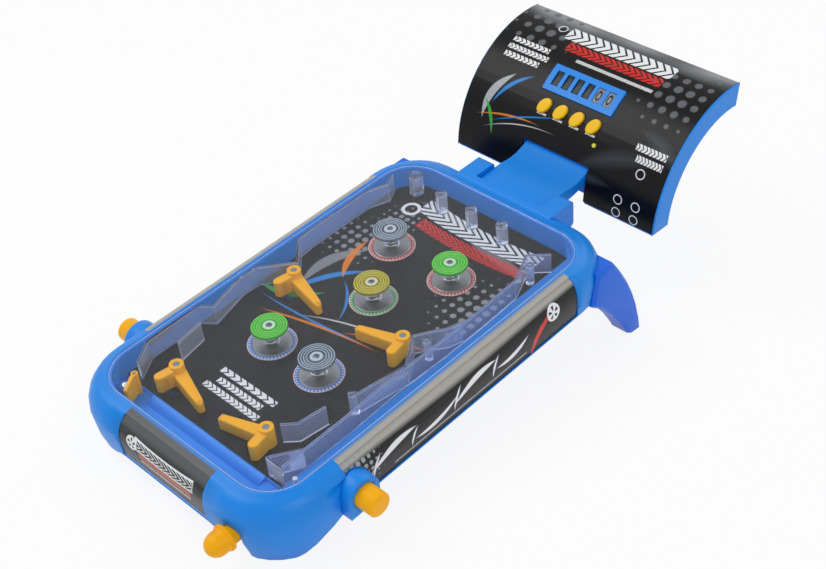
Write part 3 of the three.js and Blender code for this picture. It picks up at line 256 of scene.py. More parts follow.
def makeSwoosh():  # a stroke along X, bent into an arc, that thins out towards its ends
    g, source, out = newGroup("swoosh", [
        ("Vector", "Vector", None), ("Bend", "Float", 0.3), ("Width", "Float", 0.12),
        ("Soft", "Float", 0.05)], [("Mask", "Float")])
    x, y = split(g, source["Vector"])[:2]
    along = calc(g, "SUBTRACT", 1, times(g, x, x), clamp=True)
    off = apart(g, y, times(g, along, source["Bend"]))
    edge = times(g, source["Width"], along)
    mask = calc(g, "DIVIDE", calc(g, "SUBTRACT", edge, off), source["Soft"], clamp=True)
    g.links.new(mask, out["Mask"])
    return g


def makeRays():  # a fan of rays around the origin
    g, source, out = newGroup("rays", [
        ("Vector", "Vector", None), ("Count", "Float", 18.0), ("Reach", "Float", 150.0),
    ], [("Mask", "Float")])
    x, y = split(g, source["Vector"])[:2]
    wave = calc(g, "SINE", times(g, calc(g, "ARCTAN2", y, x), source["Count"]))
    far = calc(g, "DIVIDE", lengthOf(g, combine(g, x, y)), source["Reach"])
    fade = calc(g, "SUBTRACT", 1, far, clamp=True)
    g.links.new(times(g, calc(g, "MULTIPLY_ADD", wave, 2.2, 0.2, clamp=True), fade), out["Mask"])
    return g


mouldedSurface, dotScreen, ringBand = makeMouldedSurface(), makeDotScreen(), makeRingBand()
chevronRow, swoosh, rays = makeChevronRow(), makeSwoosh(), makeRays()
print("shared effects made")


# ---- materials
def startMaterial(name):
    material = bpy.data.materials.new(name)
    material.use_nodes = True
    return material, material.node_tree, material.node_tree.nodes["Principled BSDF"]


def objectPlace(tree):
    return tree.nodes.new("ShaderNodeTexCoord").outputs["Object"]


def tablePlace(tree):  # millimetres in the table's own frame
    return placed(tree, objectPlace(tree), y=table["setback"], z=table["rise"],
                  tilt=math.degrees(table["slope"]), scale=(0.001, 0.001, 0.001))


def finishSurface(tree, shader, look, colour):
    outputs = use(tree, mouldedSurface, Vector=objectPlace(tree), Colour=colour, Drift=look["drift"],
                  Gloss=look["gloss"], Grain=look["grain"])
    bump = tree.nodes.new("ShaderNodeBump")
    bump.inputs["Strength"].default_value = look.get("bump", moulded["bump"])
    bump.inputs["Distance"].default_value = moulded["depth"]
    tree.links.new(outputs["Height"], bump.inputs["Height"])
    tree.links.new(outputs["Colour"], shader.inputs["Base Color"])
    tree.links.new(outputs["Roughness"], shader.inputs["Roughness"])
    tree.links.new(bump.outputs[0], shader.inputs["Normal"])
    shader.inputs["Coat Weight"].default_value = look.get("coat", 0.0)
    shader.inputs["Coat Roughness"].default_value = moulded["coatRough"]
    shader.inputs["Metallic"].default_value = look.get("metal", 0.0)
    shader.inputs["Specular IOR Level"].default_value = look.get("shine", 0.35)


plastics = {
    "bluePlastic": {"colour": "0888ea", "drift": 0.1, "gloss": 0.36, "grain": 0.8},
    "deepBluePlastic": {"colour": "0868e4", "drift": 0.1, "gloss": 0.36, "grain": 0.8},
    "yellowPlastic": {"colour": "ffb400", "drift": 0.08, "gloss": 0.34, "grain": 0.6, "shine": 0.2},
    "keyPlastic": {"colour": "ffc808", "drift": 0.08, "gloss": 0.3, "grain": 0.6, "shine": 0.25},
    "greyPlastic": {"colour": "5a5e64", "drift": 0.12, "gloss": 0.45, "grain": 1.0},
    "palePlastic": {"colour": "dde0e3", "drift": 0.05, "gloss": 0.4, "grain": 0.8, "coat": 0.1},
    "lampPlastic": {"colour": "e4d83a", "drift": 0.05, "gloss": 0.15, "grain": 0.2, "coat": 0.5},
    "boardLacquer": {"colour": "1f7a44", "drift": 0.3, "gloss": 0.35, "grain": 1.0, "coat": 0.4},
    "cellWrap": {"colour": "3a3f46", "drift": 0.2, "gloss": 0.3, "grain": 0.3, "coat": 0.4},
    "brightSteel": {"colour": "d6d8dc", "drift": 0.1, "gloss": 0.16, "grain": 0.6, "metal": 1.0},
    "discSteel": {"colour": "8f918e", "drift": 0.25, "gloss": 0.3, "grain": 0.8, "metal": 1.0},
    "screwSteel": {"colour": "6d7074", "drift": 0.1, "gloss": 0.28, "grain": 0.6, "metal": 1.0},
    "ballSteel": {"colour": "e2e4e8", "drift": 0.04, "gloss": 0.04, "grain": 0.1, "metal": 1.0},
}


def makePlastic(name):
    look = plastics[name]
    material, tree, shader = startMaterial(name)
    finishSurface(tree, shader, look, tint(look["colour"]))
    return material


materials = {name: makePlastic(name) for name in plastics}

capLooks = {  # colours, the grooves with painted shade and the ridges with painted highlight, and how much of what lies behind the clearest and the most solid parts cover
    "smokeCapPlastic": {"shadedGroove": "4f6675", "ridge": "b8ccd9", "hub": "d3dbe0", "least": 0.5, "most": 0.85},
    "greenCapPlastic": {"shadedGroove": "22b414", "ridge": "7fea55", "hub": "cfe3cc", "least": 0.88, "most": 1.0},
    "limeCapPlastic": {"shadedGroove": "a0920a", "ridge": "e6dc40", "hub": "dddcc0", "least": 0.78, "most": 0.95},
}
capFinish = {
    "drift": 0.04, "gloss": 0.12, "grain": 0.2, "shine": 0.3, "glance": 0.4, "glanceFall": 2.0,
    "ridgeLevels": (-2.944, -2.389), "hubLevels": (-2.28, -2.24),
}


def makeCap(name):  # tinted clear plastic, with painted shade in the grooves and a painted highlight on the ridges
    look = capLooks[name]
    material, tree, shader = startMaterial(name)
    level = split(tree, tablePlace(tree))[2]
    # painted shade and highlight: the grooves darker and the ridges paler, as light falls on the relief;
    # the ridges also cover more of what lies behind
    ridge = ramp(tree, level, *capFinish["ridgeLevels"])
    colour = layer(tree, tint(look["shadedGroove"]), tint(look["ridge"]), ridge)
    colour = layer(tree, colour, tint(look["hub"]), ramp(tree, level, *capFinish["hubLevels"]))
    finishSurface(tree, shader, capFinish, colour)
    glance = tree.nodes.new("ShaderNodeLayerWeight")
    glance.inputs["Blend"].default_value = capFinish["glance"]
    grazed = calc(tree, "POWER", glance.outputs["Facing"], capFinish["glanceFall"])
    solid = calc(tree, "MAXIMUM", ridge, grazed)
    cover = calc(tree, "MULTIPLY_ADD", solid, look["most"] - look["least"], look["least"], clamp=True)
    tree.links.new(cover, shader.inputs["Alpha"])
    return material


coverLook = {
    "colour": "f3f6ff", "drift": 0.03, "gloss": 0.02, "grain": 0.15, "shine": 0.3, "ior": 1.3, "bump": 0.04,
    "hazeAndHighlight": "d3dcf0", "wall": 0.2, "wallStep": (0.5, 0.9), "edge": 0.85, "edgeStep": (0.42, 0.04),
    "inside": 95.0, "lineEdge": 0.3,
    "railHighlightLines": [(-2.6, 0.9, 0.75), (-19.6, 0.7, 0.4)],  # painted highlight lines along the rails: level, width, strength
}


def makeCover():  # water-clear plastic that bends the view a little and lets the light through to the field, with painted highlights on its edges and along the rails
    look = coverLook
    material, tree, shader = startMaterial("clearCoverPlastic")
    finishSurface(tree, shader, look, tint(look["colour"]))
    shader.inputs["Transmission Weight"].default_value = 1.0
    shader.inputs["IOR"].default_value = look["ior"]
    facing = tree.nodes.new("ShaderNodeVectorMath")  # 1 on the flat top, 0 on walls, between them on edges
    facing.operation = "DOT_PRODUCT"
    tree.links.new(tree.nodes.new("ShaderNodeNewGeometry").outputs["True Normal"], facing.inputs[0])
    facing.inputs[1].default_value = (0, -math.sin(table["slope"]), math.cos(table["slope"]))
    level = calc(tree, "POWER", calc(tree, "ABSOLUTE", facing.outputs["Value"]), 2.0)
    wall = softStep(tree, level, *look["wallStep"])
    edge = softStep(tree, apart(tree, level, 0.5), *look["edgeStep"])
    # a faint milky tint on the walls; painted highlights on the edges and in lines along the rails, where a
    # pale diffuse layer stands in for bright reflections
    milkyWall, edgeHighlight = times(tree, wall, look["wall"]), times(tree, edge, look["edge"])
    hazeAndHighlight = calc(tree, "MAXIMUM", milkyWall, edgeHighlight)
    x, y, z = split(tree, tablePlace(tree))
    inner = softStep(tree, calc(tree, "ABSOLUTE", x), look["inside"], 1.0)
    for place, wide, strength in look["railHighlightLines"]:
        line = softStep(tree, apart(tree, z, place), wide / 2, look["lineEdge"])
        line = times(tree, line, times(tree, wall, inner))
        hazeAndHighlight = calc(tree, "MAXIMUM", hazeAndHighlight, times(tree, line, strength))
    milkyHighlight = tree.nodes.new("ShaderNodeBsdfDiffuse")
    milkyHighlight.inputs["Color"].default_value = tint(look["hazeAndHighlight"])
    body = mixShaders(tree, hazeAndHighlight, shader.outputs[0], milkyHighlight.outputs[0])
    path = tree.nodes.new("ShaderNodeLightPath").outputs
    lit = calc(tree, "MAXIMUM", path["Is Shadow Ray"], path["Is Diffuse Ray"])
    through = tree.nodes.new("ShaderNodeBsdfTransparent")
    mix = mixShaders(tree, lit, body, through.outputs[0])
    tree.links.new(mix, tree.nodes["Material Output"].inputs["Surface"])
    return material


filmEdge = {
    # the near colours are a painted reflection of blue next to the cover
    "pin": "6b8793", "side": "aeaca6", "sideBlueReflection": "4f7fbf", "front": "545658", "frontBlueReflection": "3c74bd",
    "sideSpan": (56.0, 305.0), "sideReach": (101.6, 104.2, 109.0), "frontHalf": 47.5,
    "frontReach": (1.6, 4.0, 9.5), "filmsAbove": -2.6,
    "fieldHalf": 92.0, "fieldMiddle": 170.0, "fieldReach": 150.0, "pinsAbove": -13.0,
}


def makeHousing():  # blue, with grey pins in the field and the films' upper edges on its shoulder, where a painted reflection of blue next to the cover fades into the films' own colours
    look = filmEdge
    material, tree, shader = startMaterial("housingPlastic")
    x, y, z = split(tree, tablePlace(tree))
    across = calc(tree, "ABSOLUTE", x)
    inField = calc(tree, "COMPARE", y, look["fieldMiddle"], look["fieldReach"])
    inField = times(tree, inField, calc(tree, "LESS_THAN", across, look["fieldHalf"]))
    pins = times(tree, inField, calc(tree, "GREATER_THAN", z, look["pinsAbove"]))
    colour = layer(tree, tint(plastics["bluePlastic"]["colour"]), tint(look["pin"]), pins)
    high = calc(tree, "GREATER_THAN", z, look["filmsAbove"])
    first, last = look["sideSpan"]
    along = calc(tree, "COMPARE", y, (first + last) / 2, (last - first) / 2)
    middle = calc(tree, "LESS_THAN", across, look["frontHalf"])
    films = (("side", across, along, look["sideReach"]),
             ("front", times(tree, y, -1), middle, look["frontReach"]))
    for name, reach, part, (near, full, far) in films:
        zone = calc(tree, "COMPARE", reach, (near + far) / 2, (far - near) / 2)
        zone = times(tree, times(tree, zone, part), high)
        # painted reflection: blue next to the cover, fading into the film's own colour further out
        film = layer(tree, tint(look[name + "BlueReflection"]), tint(look[name]), ramp(tree, reach, near, full))
        colour = layer(tree, colour, film, zone)
    finishSurface(tree, shader, plastics["bluePlastic"], colour)
    return material


materials.update({name: makeCap(name) for name in capLooks})
materials.update({"clearCoverPlastic": makeCover(), "housingPlastic": makeHousing()})

fieldPrint = {
    "ground": "0d0c0f", "fan": "1b1b1e", "patch": "8f9196", "grey": "8b8f94", "pale": "e9ebee",
    "red": "d8322a", "blue": "2f8fe0", "orange": "f08a1c", "green": "3fae4a", "tick": "f1f1f1",
    "line": "f3d9d4",
    "drift": 0.05, "gloss": 0.36, "grain": 0.1, "shine": 0.1, "bump": 0.03,
    "fanPlace": (4, 98, 6, 17, 170),  # x, y, turn, rays, reach
    "patches": [(38, 300, -8, 44, 12), (-30, 318, -4, 40, 9)],  # x, y, turn, half length, half height
    "rings": [(-44.7, 262.4, "c23a33"), (22.5, 261.4, "b8332f"), (-10.0, 205.8, "2f9a4a"),
              (-36.0, 120.7, "3579c8"), (17.5, 120.1, "2f74c4")],
    "ringShape": (17.7, 3.4, 40), "lineShape": (19.3, 0.7),  # radius, width, ticks
    "dots": [(-72, 250, 36, 8.4), (66, 244, 46, 9.0), (-62, 292, 24, 7.0)],  # x, y, reach, pitch
    "strokes": [  # x, y, turn, half length, half height, bend, width, colour
        (-62, 214, 78, 34, 20, 0.55, 0.3, "grey"), (-52, 196, 60, 40, 22, 0.4, 0.16, "blue"),
        (-72, 176, 25, 30, 18, -0.5, 0.22, "green"), (-20, 152, 12, 62, 16, 0.25, 0.1, "orange"),
        (2, 166, 16, 55, 16, 0.5, 0.07, "pale"), (-34, 160, 5, 60, 16, -0.2, 0.09, "blue"),
        (-56, 232, 110, 26, 14, 0.4, 0.25, "orange"), (-30, 188, 130, 26, 14, -0.4, 0.12, "blue"),
        (34, 176, 22, 40, 12, 0.3, 0.14, "orange")],
    "arches": [(2, 314, 62, 9, 7, "pale"), (8, 296, 56, 6, 9, "red")],  # x, y, half sizes, bars, colour
    "rows": [(-14, 77, 30, 4), (-14, 68, 24, 5), (-14, 59, 30, 6)],  # x, y, half width, bars
    "target": (-66, 308, 7.0, 3.0),  # x, y, radius, width
}


def makeFieldPrint():
    look = fieldPrint
    material, tree, shader = startMaterial("fieldPrint")
    here = tablePlace(tree)
    x, y, turn, count, reach = look["fanPlace"]
    spot = spotAt(tree, here, x, y, turn=turn)
    colour = paint(tree, tint(look["ground"]), look["fan"], rays, spot, Count=count, Reach=reach)
    for x, y, turn, long, high in look["patches"]:
        spot = spotAt(tree, here, x, y, long, high, turn)
        colour = paint(tree, colour, look["patch"], swoosh, spot, 0.6, Bend=0.2, Width=0.6, Soft=0.3)
    for x, y, reach, pitch in look["dots"]:
        spot = spotAt(tree, here, x, y)
        colour = paint(tree, colour, look["grey"], dotScreen, spot, Pitch=pitch, Dot=0.34, Reach=reach)
    for x, y, turn, long, high, bend, width, name in look["strokes"]:
        spot = spotAt(tree, here, x, y, long, high, turn)
        colour = paint(tree, colour, look[name], swoosh, spot, 0.85, Bend=bend, Width=width)
    for x, y, wide, high, bars, name in look["arches"]:
        spot = spotAt(tree, here, x, y, wide, high)
        colour = paint(tree, colour, look[name], chevronRow, spot, Bars=bars, Arch=-0.6)
    for x, y, wide, bars in look["rows"]:
        spot = spotAt(tree, here, x, y, wide, 2.9)
        colour = paint(tree, colour, look["pale"], chevronRow, spot, Bars=bars, Slant=0.12, Fill=0.74)
    x, y, radius, width = look["target"]
    spot = spotAt(tree, here, x, y)
    colour = paint(tree, colour, look["pale"], ringBand, spot, Radius=radius, Width=width)
    for x, y, ringColour in look["rings"]:
        spot = spotAt(tree, here, x, y)
        radius, width, ticks = look["ringShape"]
        ring = use(tree, ringBand, Vector=spot, Radius=radius, Width=width, Ticks=ticks)
        colour = layer(tree, colour, tint(ringColour), ring["Mask"])
        colour = layer(tree, colour, tint(look["tick"]), times(tree, ring["Ticks"], 0.75))
        radius, width = look["lineShape"]
        colour = paint(tree, colour, look["line"], ringBand, spot, Radius=radius, Width=width)
    finishSurface(tree, shader, look, colour)
    return material


sidePrint = {
    "ground": "0b0c0f", "silver": "aeaca6", "dots": "a4a7aa", "pale": "f4f4f7", "violet": "3a2f78",
    "red": "d8362c", "ink": "15161a", "drift": 0.05, "gloss": 0.3, "grain": 0.3, "coat": 0.1, "shine": 0.3,
    "wave": (0.026, 0.8, -6.9, 0.32),  # of the silver band's edge: turn per mm, height, level, sharpness
    "dotGroup": (66, -16, 5.2, 26), "line": (172, -31, 72, 0.8, 42), "wheel": (277, -14, 3.6, 7.2, 5),
    "strokes": [  # along, up, turn, half length, half height, bend, width
        (84, -21, 62, 11, 7, 0.4, 0.2), (100, -19, 12, 26, 8, 0.5, 0.34), (122, -22, 62, 9, 6, 0.4, 0.2),
        (144, -20, 10, 24, 8, -0.55, 0.3), (168, -20, 62, 11, 7, 0.4, 0.2),
        (186, -19, 12, 26, 8, 0.5, 0.34),
        (210, -20, 62, 10, 7, 0.4, 0.2), (228, -18, 10, 20, 8, -0.5, 0.3)],
    "shadow": 0.9, "trail": {"count": 5, "x": 266, "y": -19, "step": 2.6, "turn": 28, "turnStep": 9},
}


def addWheel(tree, here, colour, look):  # a disc with dark spokes in it
    x, y, radius, width, spokes = look["wheel"]
    disc = use(tree, ringBand, Vector=spotAt(tree, here, x, y), Radius=radius, Width=width, Ticks=spokes)
    colour = layer(tree, colour, tint(look["pale"]), disc["Mask"])
    return layer(tree, colour, tint(look["ink"]), disc["Ticks"])


def makeSidePrint():
    look = sidePrint
    material, tree, shader = startMaterial("sidePrint")
    here = placed(tree, tablePlace(tree), turn=90, tilt=90)  # X runs along the side, Y up it
    along, up = split(tree, here)[:2]
    often, height, level, sharpness = look["wave"]
    wave = calc(tree, "SINE", times(tree, along, often))
    edge = calc(tree, "MULTIPLY_ADD", wave, height, level)
    band = calc(tree, "MULTIPLY_ADD", calc(tree, "SUBTRACT", up, edge), sharpness, 0.5, clamp=True)
    colour = layer(tree, tint(look["ground"]), tint(look["silver"]), band)
    x, y, pitch, reach = look["dotGroup"]
    spot = spotAt(tree, here, x, y)
    colour = paint(tree, colour, look["dots"], dotScreen, spot, Pitch=pitch, Dot=0.4, Reach=reach)
    for name, shift in (("violet", look["shadow"]), ("pale", 0)):
        for x, y, turn, long, high, bend, width in look["strokes"]:
            spot = spotAt(tree, here, x + shift, y - shift / 2, long, high, turn)
            colour = paint(tree, colour, look[name], swoosh, spot, Bend=bend, Width=width, Soft=0.08)
    x, y, wide, high, bars = look["line"]
    spot = spotAt(tree, here, x, y, wide, high)
    colour = paint(tree, colour, look["pale"], chevronRow, spot, 0.6, Bars=bars, Fill=0.7)
    t = look["trail"]
    for number in range(t["count"]):
        shift = number * t["step"]
        spot = spotAt(tree, here, t["x"] - shift, t["y"] - shift, 17, 8, t["turn"] + number * t["turnStep"])
        colour = paint(tree, colour, look["red"], swoosh, spot, Bend=0.3, Width=0.26)
    colour = addWheel(tree, here, colour, look)
    finishSurface(tree, shader, look, colour)
    return material


frontPrint = {
    "ground": "1e2021", "sheen": "545658", "streak": "08090a", "pale": "eceef0", "red": "cf5a41",
    "strip": "c9cdd3", "ink": "16171a",
    "drift": 0.05, "gloss": 0.26, "grain": 0.3, "coat": 0.1, "shine": 0.3,
    "sheenLevels": (-8.8, -4.8), "wave": (0.05, 1.0, -10.5), "streakStep": (1.4, 1.8),
    "brush": (4.0, -1.9, 0.35), "stripStep": (-35.2, 0.6), "wheel": (-33, -15, 2.9, 5.8, 5),
    "rows": [  # across, up, half width, half height, bars, fill, slant, arch, colour
        (3, -14.5, 33, 5.0, 1, 1.0, 0.0, -0.25, "pale"), (4, -14.6, 31, 3.6, 6, 0.68, 0.25, -0.3, "ink"),
        (4, -22.6, 29, 2.8, 7, 0.7, 0.25, -0.3, "red"), (4, -27.4, 28, 0.9, 16, 0.62, 0.25, -0.6, "pale")],
}


def makeFrontPrint():
    look = frontPrint
    material, tree, shader = startMaterial("frontPrint")
    here = placed(tree, tablePlace(tree), tilt=90)  # X across, Y up the front
    x, up = split(tree, here)[:2]
    sheen = ramp(tree, up, *look["sheenLevels"])
    colour = layer(tree, tint(look["ground"]), tint(look["sheen"]), sheen)
    often, height, middle = look["wave"]
    wave = calc(tree, "SINE", times(tree, x, often))
    level = calc(tree, "MULTIPLY_ADD", wave, height, middle)
    streak = softStep(tree, apart(tree, up, level), *look["streakStep"])
    colour = layer(tree, colour, tint(look["streak"]), times(tree, streak, 0.9))
    grain = noise(tree, spotAt(tree, here, 0, 0, 40, 1.4, 8), 1.0, 3.0)
    gain, base, strength = look["brush"]
    brushed = times(tree, calc(tree, "MULTIPLY_ADD", grain, gain, base, clamp=True), strength)
    colour = layer(tree, colour, tint(look["sheen"]), brushed)
    for px, py, wide, high, bars, fill, slant, arch, name in look["rows"]:
        spot = spotAt(tree, here, px, py, wide, high)
        colour = paint(tree, colour, look[name], chevronRow, spot, Bars=bars, Fill=fill, Slant=slant,
                       Arch=arch)
    colour = addWheel(tree, here, colour, look)
    colour = layer(tree, colour, tint(look["strip"]), softStep(tree, up, *look["stripStep"]))
    finishSurface(tree, shader, look, colour)
    return material


headAxis = {"y": 512, "z": -38, "radius": 100, "level": 130}
keyXs = (-26.5, -9, 8.6, 26.2)
panelPrint = {
    # silver here is a painted sheen: the top of the curved face painted lighter, as a highlight where it
    # turns towards the light, broken into patches
    "ground": "0a0a0d", "silver": "8f9296", "dots": "64686e", "pale": "f0f1f3", "red": "d2342b",
    "shape": "3a3d43", "drift": 0.05, "gloss": 0.22, "grain": 0.2, "shine": 0.16,
    "sheenSpan": (64, 80), "patchScale": (60, 30), "patchStep": (2.4, -0.5),
    "dotGroups": [(-72, 60, 42, 13.4), (80, 42, 44, 12.0)],  # x, y, reach, pitch
    "strokes": [  # x, y, turn, half length, half height, bend, width, colour
        (-76, -20, 70, 26, 14, 0.5, 0.3, "b9bdc3"), (-64, -10, 50, 24, 12, 0.4, 0.18, "2f8fe0"),
        (-58, -36, 10, 36, 12, 0.3, 0.1, "f08a1c"), (-44, -42, 14, 42, 12, 0.5, 0.06, "eceef0"),
        (-80, -40, 120, 18, 10, -0.4, 0.2, "3fae4a"), (-40, -30, 20, 40, 12, 0.2, 0.08, "2f8fe0")],
    "shapes": [(60, -34, 20, 44, 20), (92, -10, -25, 30, 16), (30, -58, 8, 34, 12)],
    "rows": [  # x, y, half width, half height, bars, colour
        (4, 62, 56, 8, 7, "pale"), (8, 47, 50, 5, 8, "red"), (16, 36, 40, 1.6, 18, "pale"),
        (-72, 34, 20, 2.6, 4, "pale"), (-70, 26, 22, 2.6, 5, "pale"), (-72, 18, 19, 2.6, 4, "pale"),
        (86, -12, 15, 3.0, 4, "pale"), (88, -21, 13, 3.0, 4, "pale")],
    "ticks": (-19, 5, 0.9, 3),  # under each key: y, half width, half height, bars
    "rings": [(-60, 64), (84, -32), (70, -60), (88, -60), (70, -72), (88, -72)], "ringShape": (4.0, 0.9),
}


def headFace(tree, level, radius):  # across the head, and up its curved face from a level given in degrees
    x, y, z = split(tree, placed(tree, tablePlace(tree), y=headAxis["y"], z=headAxis["z"]))
    turn = calc(tree, "SUBTRACT", math.radians(level), calc(tree, "ARCTAN2", z, y))
    return x, times(tree, turn, radius)


def makePanelPrint():
    look = panelPrint
    material, tree, shader = startMaterial("panelPrint")
    x, up = headFace(tree, headAxis["level"], headAxis["radius"])
    here = combine(tree, x, up)
    # painted sheen: the top of the face lighter, in patches, as a highlight
    sheen = ramp(tree, up, *look["sheenSpan"])
    patches = noise(tree, spotAt(tree, here, 0, 0, *look["patchScale"]), 1.0, 0.0)
    patches = calc(tree, "MULTIPLY_ADD", patches, *look["patchStep"], clamp=True)
    sheen = times(tree, sheen, patches)
    colour = layer(tree, tint(look["ground"]), tint(look["silver"]), sheen)
    for px, py, turn, long, high in look["shapes"]:
        spot = spotAt(tree, here, px, py, long, high, turn)
        colour = paint(tree, colour, look["shape"], swoosh, spot, Bend=0.3, Width=0.5, Soft=0.5)
    for px, py, reach, pitch in look["dotGroups"]:
        spot = spotAt(tree, here, px, py)
        colour = paint(tree, colour, look["dots"], dotScreen, spot, Pitch=pitch, Dot=0.34, Reach=reach)
    for px, py, turn, long, high, bend, width, code in look["strokes"]:
        spot = spotAt(tree, here, px, py, long, high, turn)
        colour = paint(tree, colour, code, swoosh, spot, 0.9, Bend=bend, Width=width)
    for px, py, wide, high, bars, name in look["rows"]:
        spot = spotAt(tree, here, px, py, wide, high)
        colour = paint(tree, colour, look[name], chevronRow, spot, Bars=bars, Slant=0.14, Fill=0.7)
    py, wide, high, bars = look["ticks"]
    for px in keyXs:
        spot = spotAt(tree, here, px, py, wide, high)
        colour = paint(tree, colour, look["pale"], chevronRow, spot, Bars=bars, Slant=0.0, Fill=0.8)
    radius, width = look["ringShape"]
    for px, py in look["rings"]:
        spot = spotAt(tree, here, px, py)
        colour = paint(tree, colour, look["pale"], ringBand, spot, Radius=radius, Width=width)
    finishSurface(tree, shader, look, colour)
    return material


glassLook = {
    "ground": "1a2026", "bars": "323c44", "lit": "8d949a", "digit": "101316", "pitch": 11.0,
    "level": 122.1, "radius": 97.0, "drift": 0.02, "gloss": 0.15, "grain": 0.1, "shine": 0.15,
    "barHalf": 0.2, "barEdge": 0.05, "digits": (1.5, 2.5), "digitSlim": 0.5, "digitShape": (3.8, 2.0),
}


def makeGlassPrint():  # segments behind the windows: four blank, two showing a nought
    look = glassLook
    material, tree, shader = startMaterial("displayGlass")
    x, up = headFace(tree, look["level"], look["radius"])
    here = combine(tree, x, up)
    cell = calc(tree, "FRACT", calc(tree, "DIVIDE", x, look["pitch"]))
    inside = softStep(tree, apart(tree, cell, 0.5), look["barHalf"], look["barEdge"])
    colour = layer(tree, tint(look["ground"]), tint(look["bars"]), inside)
    colour = layer(tree, colour, tint(look["lit"]), calc(tree, "GREATER_THAN", x, look["pitch"]))
    radius, width = look["digitShape"]
    for place in look["digits"]:
        spot = spotAt(tree, here, place * look["pitch"], 0, look["digitSlim"])
        colour = paint(tree, colour, look["digit"], ringBand, spot, Radius=radius, Width=width)
    finishSurface(tree, shader, look, colour)
    return material


materials.update({
    "fieldPrint": makeFieldPrint(), "sidePrint": makeSidePrint(), "frontPrint": makeFrontPrint(),
    "panelPrint": makePanelPrint(), "displayGlass": makeGlassPrint()})
print("materials made:", len(materials))


# ---- carried-over CAD shapes, welded, eased at their edges and smoothed
def only(piece):
    bpy.ops.object.select_all(action="DESELECT")
    piece.select_set(True)
    bpy.context.view_layer.objects.active = piece


def applyAll(piece):
    only(piece)
    for modifier in list(piece.modifiers):
        bpy.ops.object.modifier_apply(modifier=modifier.name)


def copyOf(master, name):  # a piece with a mesh of its own
    piece = bpy.data.objects.new(name, master.data.copy())
    bpy.context.scene.collection.objects.link(piece)
    return piece


def attach(piece, node, material):
    piece.data.materials.clear()
    piece.data.materials.append(materials[material])
    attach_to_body(piece, bodyOf[node])
    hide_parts(node)


carried = {"weld": 0.000005, "flat": 0.4, "easeSteps": 2, "sharp": 32, "coverSharp": 10, "easeOver": 8}


def refine(node, material, ease=0.0):  # the edge to ease is in millimetres
    sharp = carried["coverSharp" if node == "clear_cover" else "sharp"]
    piece = copyOf(frame["nodes"][node], node + "_fine")
    only(piece)
    bpy.ops.object.mode_set(mode="EDIT")
    bpy.ops.mesh.select_all(action="SELECT")
    bpy.ops.mesh.remove_doubles(threshold=carried["weld"])
    bpy.ops.mesh.dissolve_limited(angle_limit=math.radians(carried["flat"]))
    bpy.ops.object.mode_set(mode="OBJECT")
    if ease:
        bevel = piece.modifiers.new("ease", "BEVEL")
        bevel.width = ease / 1000
        bevel.segments = carried["easeSteps"]
        bevel.limit_method = "ANGLE"
        bevel.angle_limit = math.radians(sharp + carried["easeOver"])
        applyAll(piece)
    only(piece)
    bpy.ops.object.shade_smooth_by_angle(angle=math.radians(sharp))
    attach(piece, node, material)


refined = {  # node: material, eased edge in millimetres
    "base_housing": ("housingPlastic", 0), "underside_plate": ("deepBluePlastic", 0.3),
    "front_label_panel": ("frontPrint", 0), "right_label_panel": ("sidePrint", 0),
    "left_label_panel": ("sidePrint", 0),
    "rear_leg_right": ("deepBluePlastic", 0.5), "rear_leg_left": ("deepBluePlastic", 0.5),
    "play_board": ("fieldPrint", 0), "clear_cover": ("clearCoverPlastic", 0.4),
    "left_button": ("yellowPlastic", 0.5), "right_button": ("yellowPlastic", 0.5),
    "left_button_collar": ("bluePlastic", 0.5), "right_button_collar": ("bluePlastic", 0.5),
    "left_slide_bar": ("greyPlastic", 0.2), "right_slide_bar": ("greyPlastic", 0.2),
    "plunger_knob": ("yellowPlastic", 0.5), "plunger_rod": ("palePlastic", 0.3),
    "ball_gate": ("yellowPlastic", 0.3),
    "neck_arm": ("bluePlastic", 0.5), "neck_hinge_pin": ("brightSteel", 0.2),
    "head_rear_shell": ("bluePlastic", 0), "head_front_panel": ("panelPrint", 0),
    "display_bezel": ("bluePlastic", 0), "display_glass": ("displayGlass", 0),
    "status_lamp": ("lampPlastic", 0.2),
    "circuit_board": ("boardLacquer", 0), "battery_door": ("deepBluePlastic", 0.3),
    "battery_cell_1": ("cellWrap", 0.3), "battery_cell_2": ("cellWrap", 0.3),
}
for name in ("lower_left", "lower_right", "upper_left", "upper_right"):
    refined["flipper_" + name] = ("yellowPlastic", 0.5)
for node, (material, ease) in refined.items():
    refine(node, material, ease)
print("carried-over shapes smoothed")


# ---- new pieces, modelled in the table's frame in millimetres
def settle(piece, place=Matrix.Identity(4)):  # from its place in the table's frame to the world, for good
    piece.data.transform(toWorld @ place @ piece.matrix_world)
    piece.matrix_world = Matrix.Identity(4)


def newPiece(name):  # the primitive that was just added
    piece = bpy.context.object
    piece.name = name
    return piece


def pickEnd(piece, side):  # selects the faces that look up or down, and stays in edit mode
    only(piece)
    bpy.ops.object.mode_set(mode="EDIT")
    bpy.ops.mesh.select_mode(type="FACE")
    bpy.ops.mesh.select_all(action="DESELECT")
    bpy.ops.object.mode_set(mode="OBJECT")
    for polygon in piece.data.polygons:
        polygon.select = polygon.normal.z * side > 0.9
    bpy.ops.object.mode_set(mode="EDIT")


discSides = 72


def stepEnd(piece, side, rings):  # the top or bottom face of a disc, stepped inwards ring by ring
    pickEnd(piece, side)
    for (radius, level), (nextRadius, nextLevel) in zip(rings, rings[1:]):
        rise = (0, 0, nextLevel - level)
        if nextRadius < radius:
            bpy.ops.mesh.inset(thickness=(radius - nextRadius) * math.cos(math.pi / discSides))
            bpy.ops.transform.translate(value=rise)
        else:
            bpy.ops.mesh.extrude_region_move(TRANSFORM_OT_translate={"value": rise})
    bpy.ops.object.mode_set(mode="OBJECT")


